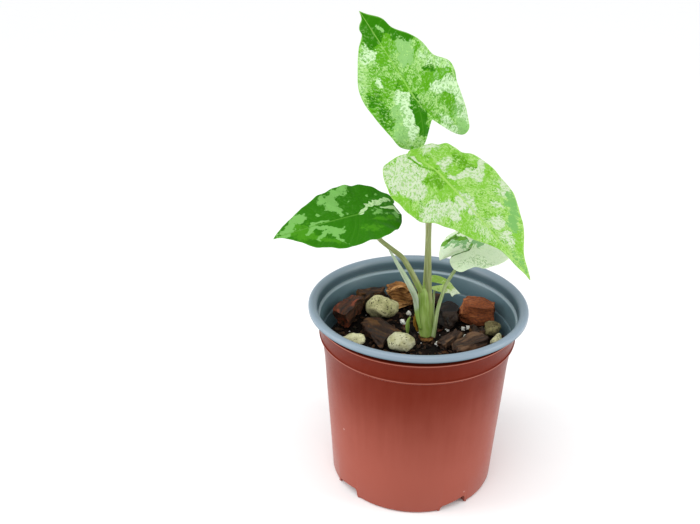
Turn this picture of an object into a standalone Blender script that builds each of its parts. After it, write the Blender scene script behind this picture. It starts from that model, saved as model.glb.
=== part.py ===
"""Potted alocasia: a young variegated elephant-ear plant in a round nursery pot.

Metres, +Z up. The pot stands on z = 0 with its axis on Z, and its front faces -Y.
Lengths below are written in millimetres and turned into metres by mm().
"""

import math
import random
from collections import namedtuple

import bmesh
import bpy
from mathutils import Euler, Vector

# ---------------------------------------------------------------- driving dimensions

GAP = 0.3                    # clear space kept between two pieces that touch

LIP_RADIUS = 60.0            # the pot's widest circle
POT_HEIGHT = 109.0
SHEET = 1.1                  # thickness of the pot's plastic
FLOOR_RADIUS = 45.5          # the pot's inside, where the floor turns up into the wall
MIX_RADIUS = 51.0            # the pot's inside at the top of the potting mix
TURN_STEPS = 64

POCKET_AZIMUTHS = (27, 117, 207, 306)    # degrees from the front, toward +X
POCKET_HEIGHT = 5.6
POCKET_INNER_RADIUS = 32.0
NOTCH_AZIMUTHS = (-16, 66, 157, 250)
NOTCH_HEIGHT = 1.2
DRAIN_RADIUS = 3.5

SOIL_LEVEL = 84.0
SOIL_DISH = 1.0              # how far the soil sinks from its middle to the wall

BLADE_THICKNESS = 0.5
BLADE_RINGS = 5              # rings of faces from the petiole's end out to the margin
BLADE_SIDE_STEPS = 14        # steps along each side of a blade's margin


def mm(*lengths):
    """Millimetres to metres: one length gives a number, three give a Vector."""
    if len(lengths) == 1:
        return lengths[0] * 0.001
    return Vector(lengths) * 0.001


# ---------------------------------------------------------------- the scene

def clear_scene():
    for obj in list(bpy.data.objects):
        bpy.data.objects.remove(obj, do_unlink=True)


def new_collection(name):
    collection = bpy.data.collections.new(name)
    bpy.context.scene.collection.children.link(collection)
    return collection


def new_material(name, colour, roughness, metallic=0.0):
    material = bpy.data.materials.new(name)
    material.use_nodes = True
    shader = material.node_tree.nodes["Principled BSDF"]
    shader.inputs["Base Color"].default_value = (*colour, 1.0)
    shader.inputs["Roughness"].default_value = roughness
    shader.inputs["Metallic"].default_value = metallic
    return material


clear_scene()
PLANT = new_collection("potted_alocasia")
CUTTERS = new_collection("cutters")
CUTTERS.hide_render = True

TERRACOTTA = new_material("terracotta_plastic", (0.42, 0.10, 0.06), 0.45)
SOIL = new_material("potting_mix", (0.020, 0.012, 0.008), 0.95)
CROWN = new_material("crown_skin", (0.40, 0.22, 0.07), 0.7)
STEM = new_material("stem_green", (0.30, 0.42, 0.13), 0.4)
PETIOLE = new_material("petiole_olive", (0.30, 0.36, 0.12), 0.4)
SHEATH = new_material("sheath_pale", (0.55, 0.68, 0.35), 0.45)
DRY_SHEATH = new_material("sheath_dry", (0.42, 0.26, 0.06), 0.8)
LEAF_WHITE = new_material("leaf_cream_green", (0.45, 0.68, 0.22), 0.35)
LEAF_LIME = new_material("leaf_lime", (0.35, 0.62, 0.06), 0.35)
LEAF_DARK = new_material("leaf_dark_green", (0.05, 0.22, 0.02), 0.3)
BARK = new_material("bark", (0.085, 0.040, 0.025), 0.85)
HUSK = new_material("husk", (0.24, 0.075, 0.030), 0.9)
PUMICE_GREY = new_material("pumice_grey", (0.33, 0.33, 0.21), 0.9)
PUMICE_CREAM = new_material("pumice_cream", (0.72, 0.71, 0.46), 0.9)
PERLITE = new_material("perlite", (0.85, 0.84, 0.80), 0.8)


# ---------------------------------------------------------------- shared modelling steps

def object_from_bmesh(mesh_data, name, collection=PLANT, material=None):
    """A new object from a bmesh, which is freed."""
    mesh = bpy.data.meshes.new(name)
    mesh_data.to_mesh(mesh)
    mesh_data.free()
    obj = bpy.data.objects.new(name, mesh)
    collection.objects.link(obj)
    if material:
        mesh.materials.append(material)
    return obj


def shade(obj, sharp_degrees=40):
    obj.data.shade_smooth()
    obj.data.set_sharp_from_angle(angle=math.radians(sharp_degrees))


def turned(name, profile, material):
    """A profile of (radius, height) points in mm, turned once about the Z axis."""
    shape = bmesh.new()
    points = [shape.verts.new(mm(radius, 0, height)) for radius, height in profile]
    for start, end in zip(points, points[1:]):
        shape.edges.new((start, end))
    obj = object_from_bmesh(shape, name, material=material)
    screw = obj.modifiers.new("turn", "SCREW")
    screw.steps = screw.render_steps = TURN_STEPS
    screw.use_merge_vertices = True
    screw.merge_threshold = 0.00005
    screw.use_smooth_shade = True
    return obj


def tube(name, route, material):
    """A capped round tube along route, a list of (x, y, z, radius) in mm."""
    curve = bpy.data.curves.new(name, "CURVE")
    curve.dimensions = "3D"
    curve.bevel_depth = mm(1)
    curve.bevel_resolution = 2
    curve.use_fill_caps = True
    spline = curve.splines.new("POLY")
    spline.points.add(len(route) - 1)
    for point, (x, y, z, radius) in zip(spline.points, route):
        point.co = (*mm(x, y, z), 1)
        point.radius = radius
    spline.use_smooth = True
    PLANT.objects.link(bpy.data.objects.new(name, curve))
    curve.materials.append(material)


def smooth_route(knots, steps):
    """Points on a Catmull-Rom curve through the knots, with this many steps between two knots."""
    knots = [Vector(knot) for knot in knots]
    ends = [2 * knots[0] - knots[1], *knots, 2 * knots[-1] - knots[-2]]
    route = []
    for before, start, end, after in zip(ends, ends[1:], ends[2:], ends[3:]):
        for step in range(steps):
            t = step / steps
            route.append(
                0.5 * (2 * start + (end - before) * t
                       + (2 * before - 5 * start + 4 * end - after) * t ** 2
                       + (3 * start - before - 3 * end + after) * t ** 3)
            )
    route.append(knots[-1])
    return route


def boolean(obj, cutter, operation):
    cut = obj.modifiers.new(cutter.name, "BOOLEAN")
    cut.operation = operation
    cut.solver = "EXACT"
    cut.object = cutter
    cutter.display_type = "WIRE"


# ---------------------------------------------------------------- the pot

def pot_inner_profile():
    """The sheet's inner and upper side, from the middle of the floor up and out over the lip."""
    lip_top = POT_HEIGHT
    lip = LIP_RADIUS
    return [
        (0.0, SHEET),
        (POCKET_INNER_RADIUS, SHEET),
        (FLOOR_RADIUS - 0.7, SHEET),
        (FLOOR_RADIUS, SHEET + 0.8),
        (46.8, 23.8),
        (48.8, 53.8),
        (50.1, 76.0),
        (MIX_RADIUS, SOIL_LEVEL),
        (52.4, 89.6),
        (52.9, 90.4),
        (53.5, 99.8),
        (54.5, 101.0),
        (54.9, lip_top - 3.4),
        (lip - 4.3, lip_top - 1.3),
        (lip - 2.8, lip_top - 0.2),
        (lip - 1.6, lip_top),
        (lip - 0.5, lip_top - 0.6),
        (lip, lip_top - 1.6),
        (lip, lip_top - 3.1),
    ]


def radial_prism(name, outline, inner, outer, azimuth):
    """A block whose outline, in mm across and up, runs outward from radius inner to radius outer."""
    shape = bmesh.new()
    face = shape.faces.new([shape.verts.new(mm(across, -inner, up)) for across, up in outline])
    grown = bmesh.ops.extrude_face_region(shape, geom=[face])
    moved = [item for item in grown["geom"] if isinstance(item, bmesh.types.BMVert)]
    bmesh.ops.translate(shape, verts=moved, vec=mm(0, inner - outer, 0))
    bmesh.ops.recalc_face_normals(shape, faces=shape.faces)
    obj = object_from_bmesh(shape, name, CUTTERS)
    obj.rotation_euler.z = math.radians(azimuth)
    return obj


def pocket_outline(margin, bottom):
    """The arch that a raised pocket shows in the wall, grown by margin: steep on one side."""
    top = POCKET_HEIGHT + margin
    return [
        (-8.6 - margin, bottom),
        (-7.0 - margin, 0.55 * top),
        (6.4 + margin, top),
        (7.6 + margin, 0.8 * top),
        (8.2 + margin, bottom),
    ]


def make_pot():
    """A thermoformed pot: one sheet, with raised drainage pockets round the edge of its floor."""
    pot = turned("pot", pot_inner_profile(), TERRACOTTA)
    sheet = pot.modifiers.new("sheet", "SOLIDIFY")
    sheet.thickness = mm(SHEET)
    sheet.offset = -1
    sheet.use_even_offset = True
    for azimuth in POCKET_AZIMUTHS:
        roof = radial_prism(f"pocket_roof_{azimuth}", pocket_outline(SHEET, SHEET / 2),
                            POCKET_INNER_RADIUS - SHEET, FLOOR_RADIUS + 0.4, azimuth)
        boolean(pot, roof, "UNION")
    for azimuth in POCKET_AZIMUTHS:
        hollow = radial_prism(f"pocket_hollow_{azimuth}", pocket_outline(0, -1),
                              POCKET_INNER_RADIUS, LIP_RADIUS, azimuth)
        boolean(pot, hollow, "DIFFERENCE")
        boolean(pot, drain_cutter(azimuth), "DIFFERENCE")
    for azimuth in NOTCH_AZIMUTHS:
        outline = [(-2.2, -1), (-1.4, NOTCH_HEIGHT), (1.4, NOTCH_HEIGHT), (4.2, -1)]
        notch = radial_prism(f"notch_{azimuth % 360}", outline, FLOOR_RADIUS + 0.2, LIP_RADIUS,
                             azimuth)
        boolean(pot, notch, "DIFFERENCE")
    shade(pot, 32)
    return pot


def drain_cutter(azimuth):
    """A round hole through a pocket's roof."""
    shape = bmesh.new()
    bmesh.ops.create_cone(shape, cap_ends=True, segments=16, radius1=mm(DRAIN_RADIUS),
                          radius2=mm(DRAIN_RADIUS), depth=mm(6))
    cutter = object_from_bmesh(shape, f"drain_{azimuth}", CUTTERS)
    angle = math.radians(azimuth)
    reach = (POCKET_INNER_RADIUS + FLOOR_RADIUS) / 2
    cutter.location = mm(reach * math.sin(angle), -reach * math.cos(angle), POCKET_HEIGHT)
    return cutter


# ---------------------------------------------------------------- the potting mix

def make_potting_mix():
    """The mix fills the pot from its floor to SOIL_LEVEL, a gap inside the plastic."""
    floor = SHEET + GAP
    wall = [(radius - GAP, height) for radius, height in pot_inner_profile()
            if floor < height < SOIL_LEVEL - SOIL_DISH]
    edge = (MIX_RADIUS - 2 * GAP, SOIL_LEVEL - SOIL_DISH)
    mix = turned(
        "potting_mix",
        [(0.0, SOIL_LEVEL), (22.0, SOIL_LEVEL), (47.0, SOIL_LEVEL - 0.3 * SOIL_DISH), edge,
         *reversed(wall), (FLOOR_RADIUS - 3 * GAP, floor), (0.0, floor)],
        SOIL,
    )
    for azimuth in POCKET_AZIMUTHS:
        room = radial_prism(f"pocket_room_{azimuth}", pocket_outline(SHEET + GAP, SHEET / 2),
                            POCKET_INNER_RADIUS - SHEET - GAP, LIP_RADIUS, azimuth)
        boolean(mix, room, "DIFFERENCE")
    shade(mix)
    return mix


# ---------------------------------------------------------------- stem and petioles

CROWN_HEIGHT = 4.2
STEM_FOOT = SOIL_LEVEL + GAP + CROWN_HEIGHT + GAP
STEM_TOP = 114.0

STEM_ROUTE = [
    (5.5, 0.0, STEM_FOOT, 4.3),
    (5.5, 0.0, 91.0, 4.4),
    (4.8, 0.0, 96.0, 4.5),
    (4.2, 0.0, 102.0, 4.5),
    (3.8, 0.0, 110.5, 4.2),
    (3.8, 0.0, STEM_TOP, 4.1),
]

# Each petiole is (x, y, z, radius) from its foot to its end just under the blade.
PETIOLES = {
    "petiole_top": [
        (4.0, 2.0, STEM_TOP + GAP, 1.5),
        (4.3, 2.8, 134.0, 1.45),
        (3.9, 4.2, 154.0, 1.4),
        (1.3, 7.6, 171.0, 1.3),
        (-1.5, 11.6, 183.0, 1.2),
        (-3.4, 16.0, 194.0, 1.1),
        (-4.9, 18.9, 206.0, 1.0),
    ],
    "petiole_right": [
        (5.6, -1.3, STEM_TOP + GAP, 1.6),
        (4.6, -1.2, 134.0, 1.55),
        (4.0, -0.9, 150.0, 1.5),
        (4.4, 0.4, 165.0, 1.4),
        (5.4, -0.2, 176.0, 1.25),
    ],
    "petiole_left": [
        (1.8, -1.0, STEM_TOP + GAP, 1.6),
        (1.5, -1.0, 116.5, 1.6),
        (-1.9, -1.6, 122.0, 1.6),
        (-5.2, -2.4, 128.8, 1.5),
        (-9.4, -3.2, 136.0, 1.4),
        (-16.1, -4.4, 142.2, 1.3),
        (-22.6, -5.8, 148.6, 1.2),
    ],
    "petiole_small": [
        (9.9, -4.1, 88.9, 1.1),
        (9.9, -3.6, 96.0, 1.1),
        (11.0, -2.4, 105.0, 1.05),
        (13.0, -0.6, 112.0, 1.0),
        (15.2, 1.4, 118.0, 0.95),
        (20.0, 3.2, 126.0, 0.9),
    ],
    "petiole_young": [
        (10.2, 3.2, 88.9, 0.75),
        (9.3, 3.4, 96.0, 0.75),
        (9.1, 4.1, 101.0, 0.7),
        (9.3, 5.1, 107.0, 0.65),
        (10.0, 6.6, 112.0, 0.6),
    ],
}

WING_ROUTE = [
    (-0.55, -3.0, 102.0, 0.6),
    (-1.1, -3.2, 108.0, 1.2),
    (-1.9, -3.7, 113.0, 1.6),
    (-4.6, -5.1, 119.5, 1.7),
    (-8.0, -6.2, 126.5, 1.6),
    (-11.6, -6.9, 133.0, 1.2),
    (-16.5, -6.6, 140.6, 0.5),
]

OLD_SHEATH_ROUTE = [(0.5, 1.6, 89.5, 0.5), (-0.5, 1.6, 94.0, 1.05), (-0.9, 1.5, 99.5, 0.4)]

SHOOT_ROUTE = [(-4.2, 7.0, SOIL_LEVEL + 0.6, 0.5), (-4.5, 7.0, 87.5, 1.2), (-4.3, 6.9, 91.5, 1.0),
               (-3.3, 6.7, 94.6, 0.5)]


def make_crown():
    """The brown top of the corm, which the stem rises from."""
    foot = SOIL_LEVEL + GAP
    crown = turned(
        "crown",
        [(0.0, foot + CROWN_HEIGHT), (4.3, foot + CROWN_HEIGHT), (5.0, foot + 2.8),
         (5.4, foot + 1.4), (5.0, foot), (0.0, foot)],
        CROWN,
    )
    crown.modifiers["turn"].steps = crown.modifiers["turn"].render_steps = 20
    crown.location = mm(5.9, 0, 0)
    shade(crown)
    return crown


def make_stem():
    tube("stem", smooth_route(STEM_ROUTE, 2), STEM)


def make_petioles():
    for name, knots in PETIOLES.items():
        blade = BLADES[name.replace("petiole", "blade")]
        frame = leaf_frame(blade)
        end_radius = knots[-1][3] * 0.9
        approach = (frame.attachment - Vector(knots[-1][:3])).normalized()
        lean = math.sin(approach.angle(frame.normal))
        # The end stops under the blade: its cap's nearest point is clear of the lower face by the gap.
        end = frame.attachment - frame.normal * (end_radius * lean + BLADE_THICKNESS / 2 + GAP)
        tube(name, smooth_route([*knots, (*end, end_radius)], 3), PETIOLE)


def make_sheaths_and_shoot():
    tube("sheath_wing", smooth_route(WING_ROUTE, 2), SHEATH)
    tube("old_sheath", smooth_route(OLD_SHEATH_ROUTE, 3), DRY_SHEATH)
    tube("offset_shoot", smooth_route(SHOOT_ROUTE, 3), SHEATH)


# ---------------------------------------------------------------- leaf blades

# A blade is drawn flat, in mm: s runs from the petiole's end toward the tip, and w to the right.
# left and right are the margin's points, from the notch behind the petiole round to the tip.
Blade = namedtuple(
    "Blade", "attachment tip facing droop lobe_sag cup half_width left right material"
)

BLADES = {
    "blade_top": Blade(
        attachment=(-5.1, 16.0, 217.7), tip=(-33.5, 27.0, 258.4), facing=(0.07, -0.94, 0.33),
        droop=4, lobe_sag=3, cup=3, half_width=24,
        left=[(-14.5, 0.4), (-19.0, -3.2), (-23.5, -8.8), (-23.4, -13.0), (-18.0, -19.5),
              (-9.0, -21.4), (0.0, -22.8), (9.0, -23.7), (16.0, -23.0), (22.5, -20.3),
              (30.5, -14.6), (35.7, -10.4), (38.6, -7.0), (40.4, -5.4), (43.0, -5.1),
              (45.0, -3.6), (46.8, -1.3)],
        right=[(-14.3, 1.4), (-21.5, 4.8), (-28.0, 8.6), (-31.6, 13.0), (-29.7, 17.2),
               (-22.5, 19.4), (-13.4, 20.9), (-6.4, 22.2), (0.0, 24.0), (6.0, 24.1),
               (13.0, 19.2), (21.9, 17.6), (28.0, 14.6), (35.0, 9.4), (41.6, 7.4), (47.5, 2.2)],
        material=LEAF_WHITE,
    ),
    "blade_right": Blade(
        attachment=(6.4, -6.0, 185.4), tip=(52.4, -34.0, 138.6), facing=(0.20, -0.74, 0.64),
        droop=9, lobe_sag=3, cup=-3, half_width=26,
        left=[(-17.6, 3.4), (-17.0, 0.0), (-15.2, -4.8), (-13.6, -9.0), (-8.0, -15.8),
              (-1.5, -18.6), (5.2, -22.4), (11.0, -25.0), (19.2, -25.8), (30.0, -24.3),
              (39.0, -21.5), (48.0, -16.9), (54.5, -11.0), (60.0, -5.8)],
        right=[(-17.2, 4.6), (-19.6, 11.5), (-20.2, 16.6), (-18.6, 20.2), (-13.0, 23.8),
               (-5.0, 26.4), (3.0, 26.6), (9.2, 25.8), (15.0, 23.6), (21.0, 18.6),
               (28.0, 13.8), (39.0, 8.9), (50.7, 3.4), (61.0, 2.0)],
        material=LEAF_LIME,
    ),
    "blade_left": Blade(
        attachment=(-32.5, -8.0, 162.9), tip=(-75.4, -26.0, 156.5), facing=(0.02, -0.38, 0.92),
        droop=3, lobe_sag=2, cup=2.5, half_width=22,
        left=[(-21.3, 0.9), (-22.3, -2.5), (-20.6, -8.0), (-17.0, -13.8), (-9.8, -19.1),
              (-1.0, -21.4), (8.0, -22.2), (16.6, -21.9), (24.4, -19.0), (30.5, -14.4),
              (36.2, -7.0), (41.5, -2.2)],
        right=[(-21.1, 3.2), (-22.8, 5.8), (-20.9, 11.5), (-15.3, 16.0), (-7.4, 19.2),
               (1.0, 20.3), (9.0, 20.0), (16.5, 17.8), (24.6, 14.4), (30.5, 11.6),
               (36.0, 8.2), (42.5, 3.4)],
        material=LEAF_DARK,
    ),
    "blade_small": Blade(
        attachment=(28.2, 4.0, 138.7), tip=(50.0, -1.0, 138.8), facing=(0.05, -0.45, 0.88),
        droop=2, lobe_sag=1.5, cup=1.5, half_width=15,
        left=[(-17.4, 5.2), (-18.7, -0.5), (-17.8, -7.4), (-14.0, -11.4), (-7.0, -13.6),
              (1.0, -14.0), (9.0, -12.2), (16.0, -7.4)],
        right=[(-10.4, 4.2), (-11.2, 7.6), (-9.6, 12.4), (-6.8, 16.6), (-3.2, 18.2),
               (0.4, 16.4), (3.4, 14.2), (8.6, 14.5), (13.4, 12.0), (18.4, 7.4)],
        material=LEAF_WHITE,
    ),
    "blade_young": Blade(
        attachment=(15.3, 7.0, 115.1), tip=(23.7, 5.0, 110.5), facing=(0.0, -0.7, 0.7),
        droop=1, lobe_sag=0.5, cup=0.6, half_width=5,
        left=[(-8.0, 3.4), (-9.0, 1.6), (-8.7, -0.8), (-6.8, -2.4), (-2.7, -3.2), (1.0, -2.6),
              (5.3, -1.3)],
        right=[(-5.4, 4.0), (-5.9, 5.5), (-4.6, 6.8), (-1.6, 6.4), (1.8, 4.9), (5.2, 2.4)],
        material=LEAF_LIME,
    ),
}

LeafFrame = namedtuple("LeafFrame", "attachment along across normal length")


def leaf_frame(blade):
    """The blade's own axes: toward its tip, to its right, and out of its upper face."""
    attachment = Vector(blade.attachment)
    reach = Vector(blade.tip) - attachment
    chord = reach.normalized()
    facing = Vector(blade.facing)
    facing = (facing - facing.dot(chord) * chord).normalized()
    length = math.sqrt(reach.length ** 2 - blade.droop ** 2)
    lift = math.atan2(blade.droop, length)
    along = chord * math.cos(lift) + facing * math.sin(lift)
    normal = facing * math.cos(lift) - chord * math.sin(lift)
    return LeafFrame(attachment, along, along.cross(normal), normal, length)


def blade_height(blade, length, s, w):
    """How far the blade lies off its flat plane: the tip and lobes hang and the sides cup."""
    toward_tip = max(s, 0) / length
    into_lobe = max(-s, 0) / (0.4 * length)
    return (
        -blade.droop * toward_tip ** 2
        - blade.lobe_sag * into_lobe ** 2
        + blade.cup * (w / blade.half_width) ** 2
    )


def margin(blade, length):
    """Even steps along the margin, from the notch's left end round the tip to its right end."""
    tip = (length, 0.0, 0.0)
    sides = []
    for points in (blade.left, blade.right):
        knots = [(s, w, 0.0) for s, w in points] + [tip]
        dense = smooth_route(knots, 8)
        steps = [dense[round(i * (len(dense) - 1) / BLADE_SIDE_STEPS)]
                 for i in range(BLADE_SIDE_STEPS + 1)]
        sides.append(steps)
    left, right = sides
    return left + right[-2::-1]


def make_blade(name, blade):
    """A fan of rings about the petiole's end, open at the notch, then thickened."""
    frame = leaf_frame(blade)
    edge = margin(blade, frame.length)
    shape = bmesh.new()

    def surface_vertex(s, w):
        height = blade_height(blade, frame.length, s, w)
        place = frame.attachment + frame.along * s + frame.across * w + frame.normal * height
        return shape.verts.new(mm(*place))

    middle = surface_vertex(0, 0)
    rings = [
        [surface_vertex(point.x * ring / BLADE_RINGS, point.y * ring / BLADE_RINGS)
         for point in edge]
        for ring in range(1, BLADE_RINGS + 1)
    ]
    for first, second in zip(rings[0], rings[0][1:]):
        shape.faces.new((middle, second, first))
    for inner, outer in zip(rings, rings[1:]):
        for i in range(len(edge) - 1):
            shape.faces.new((inner[i], inner[i + 1], outer[i + 1], outer[i]))
    obj = object_from_bmesh(shape, name, material=blade.material)
    solid = obj.modifiers.new("thickness", "SOLIDIFY")
    solid.thickness = mm(BLADE_THICKNESS)
    solid.offset = 0
    shade(obj, 60)
    return obj


# ---------------------------------------------------------------- top dressing

# Every piece: size is width, depth and height in mm, place its middle seen from above in mm,
# turn its rotation about Z and tilt its lean about X, in degrees.
Chip = namedtuple("Chip", "name size place turn material tilt")

BLOCKS = [
    Chip("bark_left", (12, 19, 14), (-38, 18), -28, BARK, 8),
    Chip("bark_left_rear", (13, 8, 13), (-23.5, 37), 24, BARK, 0),
    Chip("bark_flat", (24, 15, 6), (-20.5, 6), -20, BARK, 0),
    Chip("bark_behind_stem", (12, 11, 10), (18.8, 19.8), 20, BARK, 0),
    Chip("bark_strip", (6, 17, 6), (18.6, -5.0), -32, BARK, 0),
    Chip("bark_front_right", (18, 8, 7.5), (28.5, -13.5), 24, BARK, 0),
    Chip("bark_bits", (6.5, 9, 6.5), (35, 0.5), 15, BARK, 0),
    Chip("bark_front", (19, 10, 6), (-14, -31), 12, BARK, 0),
    Chip("bark_front_side", (9, 17, 6), (13, -33), -25, BARK, 0),
    Chip("bark_rear", (15, 9, 7), (10, 41), -8, BARK, 0),
    Chip("husk_right", (17, 12, 14), (36.5, 19), -15, HUSK, 0),
    Chip("husk_rear", (16, 10, 14), (-6.5, 38.8), 6, HUSK, 0),
    Chip("husk_front", (12, 10, 8), (33, -29), 35, HUSK, 0),
]

STONES = [
    Chip("pumice_grey", (19.5, 14.5, 12.5), (-18.3, 24.0), 12, PUMICE_GREY, 0),
    Chip("pumice_white", (15.5, 12, 11), (-9.1, -12.5), -8, PUMICE_CREAM, 0),
    Chip("pumice_cream", (14, 9, 8), (-35.5, -7.5), 12, PUMICE_CREAM, 0),
    Chip("pumice_grey_right", (11, 8, 7.5), (43.8, 6.0), 60, PUMICE_GREY, 0),
    Chip("pumice_cream_right", (8.5, 6.5, 6.5), (44.3, -5.0), 70, PUMICE_CREAM, 0),
    Chip("pumice_front", (12, 10, 8), (-35, -24), 25, PUMICE_GREY, 0),
]

PERLITE_PLACES = [
    (27.4, 9.6), (30.4, 10.8), (18.4, 8.4), (11.2, -7.2), (23.6, -6.4), (28.0, 1.4),
    (-2.6, 27.0), (-6.4, 17.0),
]
PERLITE_SIZE = 2.8


def seat(obj, place, turn, tilt):
    """Turns a piece, then sets it over place with its lowest point a gap above the mix."""
    rotation = Euler((math.radians(tilt), 0, math.radians(turn))).to_matrix().to_4x4()
    obj.data.transform(rotation)
    lowest = min(vertex.co.z for vertex in obj.data.vertices)
    obj.location = mm(*place, SOIL_LEVEL + GAP) - Vector((0, 0, lowest))


def make_block(chip):
    """A broken block of bark or husk: a cut-up box with knocked corners and a rough face."""
    rng = random.Random(chip.name)
    shape = bmesh.new()
    bmesh.ops.create_cube(shape, size=1)
    bmesh.ops.subdivide_edges(shape, edges=shape.edges, cuts=2, use_grid_fill=True)
    for vertex in shape.verts:
        corner = sum(abs(axis) > 0.4 for axis in vertex.co)
        shrink = (1.0, 1.0, 0.94, 0.82)[corner]
        jitter = Vector(rng.uniform(-0.05, 0.05) for _ in range(3))
        vertex.co = Vector(
            axis * size for axis, size in zip(vertex.co * shrink + jitter, mm(*chip.size))
        )
    bmesh.ops.triangulate(shape, faces=shape.faces)
    obj = object_from_bmesh(shape, chip.name, material=chip.material)
    seat(obj, chip.place, chip.turn, chip.tilt)
    shade(obj, 25)


def make_stone(stone):
    """A rounded lump: a ball with flattened and swollen places, scaled to its size."""
    rng = random.Random(stone.name)
    bumps = [
        (Vector(rng.gauss(0, 1) for _ in range(3)).normalized(), rng.uniform(-1, 1))
        for _ in range(9)
    ]
    shape = bmesh.new()
    bmesh.ops.create_icosphere(shape, subdivisions=2, radius=0.5)
    for vertex in shape.verts:
        outward = vertex.co.normalized()
        swell = sum(
            strength * max(outward.dot(way), 0) ** 3 for way, strength in bumps
        )
        reach = vertex.co * (1 + 0.14 * max(-1, min(1, swell)))
        vertex.co = Vector(axis * length for axis, length in zip(reach, mm(*stone.size)))
    obj = object_from_bmesh(shape, stone.name, material=stone.material)
    seat(obj, stone.place, stone.turn, stone.tilt)
    shade(obj, 50)


def make_top_dressing():
    for chip in BLOCKS:
        make_block(chip)
    for stone in STONES:
        make_stone(stone)
    for number, place in enumerate(PERLITE_PLACES, 1):
        size = (PERLITE_SIZE * (1 + 0.12 * (number % 3)), PERLITE_SIZE, PERLITE_SIZE * 0.9)
        make_stone(Chip(f"perlite_{number}", size, place, 40 * number, PERLITE, 0))


# ---------------------------------------------------------------- the whole plant

make_pot()
make_potting_mix()
make_crown()
make_stem()
make_petioles()
make_sheaths_and_shoot()
for blade_name, blade_shape in BLADES.items():
    make_blade(blade_name, blade_shape)
make_top_dressing()
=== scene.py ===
"""Potted alocasia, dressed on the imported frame: pot, potting mix, top dressing, stems and leaves.

Metres, +Z up. Lengths below are written in millimetres and turned into metres by mm().
"""

import random
from collections import namedtuple
from math import atan2, cos, exp, floor, hypot, pi, radians, sin, sqrt

import bmesh
import bpy
import numpy as np
from mathutils import Matrix, Vector, noise


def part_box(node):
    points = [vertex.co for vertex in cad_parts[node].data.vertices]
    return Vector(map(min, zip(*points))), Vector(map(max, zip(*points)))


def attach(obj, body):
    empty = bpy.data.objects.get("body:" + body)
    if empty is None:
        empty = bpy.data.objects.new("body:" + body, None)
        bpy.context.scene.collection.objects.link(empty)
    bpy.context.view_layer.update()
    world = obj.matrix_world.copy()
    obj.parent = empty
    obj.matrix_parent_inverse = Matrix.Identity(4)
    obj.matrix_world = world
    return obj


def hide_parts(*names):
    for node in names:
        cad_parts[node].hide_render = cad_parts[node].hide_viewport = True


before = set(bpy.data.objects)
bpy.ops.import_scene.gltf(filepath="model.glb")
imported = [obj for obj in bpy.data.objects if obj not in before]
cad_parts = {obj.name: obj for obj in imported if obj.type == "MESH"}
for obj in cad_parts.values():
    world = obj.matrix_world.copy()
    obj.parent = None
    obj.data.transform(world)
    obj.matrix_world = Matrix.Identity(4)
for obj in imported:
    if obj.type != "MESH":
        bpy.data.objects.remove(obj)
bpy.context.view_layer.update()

# ---------------- sizes that the frame gives, in mm


def box_mm(node):
    """A CAD node's lowest and highest corners in mm."""
    low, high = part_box(node)
    return Vector(low) * 1000, Vector(high) * 1000


LIP_RADIUS = box_mm("pot")[1].x
POT_HEIGHT = box_mm("pot")[1].z
SOIL_LEVEL = box_mm("potting_mix")[1].z
SOIL_RADIUS = box_mm("potting_mix")[1].x
STEM_FOOT = box_mm("stem")[0].z
STEM_TOP = box_mm("stem")[1].z

SHEET = 1.1                  # thickness of the pot's plastic
FLOOR_RADIUS = 45.5          # the pot's inside, where the floor turns up into the wall
GAP = 0.3                    # what is left free between the mix and the pot
CRUMB_REACH = 48.5           # how far from the middle the loose crumbs lie
BLADE_THICKNESS = 0.42
FULL_LENGTH = 50             # a blade this long has its detail at full size, others to scale
END_BULGE = 0.35             # of a stalk's rounded ends, as a share of its radius

# The camera was worked out from the ellipses of the pot's lip and foot in the photograph.
CAMERA_PLACE = (-37.3, -412.4, 327.0)
CAMERA_DOWN = 25.33          # degrees, as the roll
CAMERA_ROLL = 0.35
LENS = 43.71                 # mm of focal length on a sensor SENSOR mm wide
SENSOR = 36

SIDE_POWER = 2.6
SIDE_WIDTH = 0.3             # metres
SIDE_HEIGHT = 0.7
SKY_POWER = 1.65
SKY_SPREAD = 60              # degrees
SKY_TILT = (22, -14)
WORLD_POWER = 0.6


def mm(*lengths):
    """Millimetres to metres: one length gives a number, three give a Vector."""
    if len(lengths) == 1:
        return lengths[0] * 0.001
    return Vector(lengths) * 0.001


def colour(red, green, blue):
    """A display colour, 0 to 255, as the linear values that a shader takes."""
    linear = [
        part / 12.92 if part <= 0.04045 else ((part + 0.055) / 1.055) ** 2.4
        for part in (red / 255, green / 255, blue / 255)
    ]
    return (*linear, 1.0)


def put_in_scene(name, data):
    """A new object in the scene's own collection."""
    obj = bpy.data.objects.new(name, data)
    bpy.context.scene.collection.objects.link(obj)
    return obj


# ---------------- camera, light and floor

def make_camera():
    data = bpy.data.cameras.new("camera")
    data.sensor_width = SENSOR
    data.lens = LENS
    camera = put_in_scene("camera", data)
    pitch = Matrix.Rotation(radians(90 - CAMERA_DOWN), 4, "X")
    roll = Matrix.Rotation(radians(CAMERA_ROLL), 4, "Z")
    camera.matrix_world = Matrix.Translation(mm(*CAMERA_PLACE)) @ pitch @ roll
    bpy.context.scene.camera = camera


def side_light(name, place):
    """A soft upright strip at place, in metres, that faces the middle of the plant."""
    data = bpy.data.lights.new(name, "AREA")
    data.shape = "RECTANGLE"
    data.size = SIDE_WIDTH
    data.size_y = SIDE_HEIGHT
    data.energy = SIDE_POWER
    light = put_in_scene(name, data)
    light.location = place
    facing = Vector((0, 0, 0.12)) - Vector(place)
    light.rotation_euler = facing.to_track_quat("-Z", "Y").to_euler()


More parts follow.
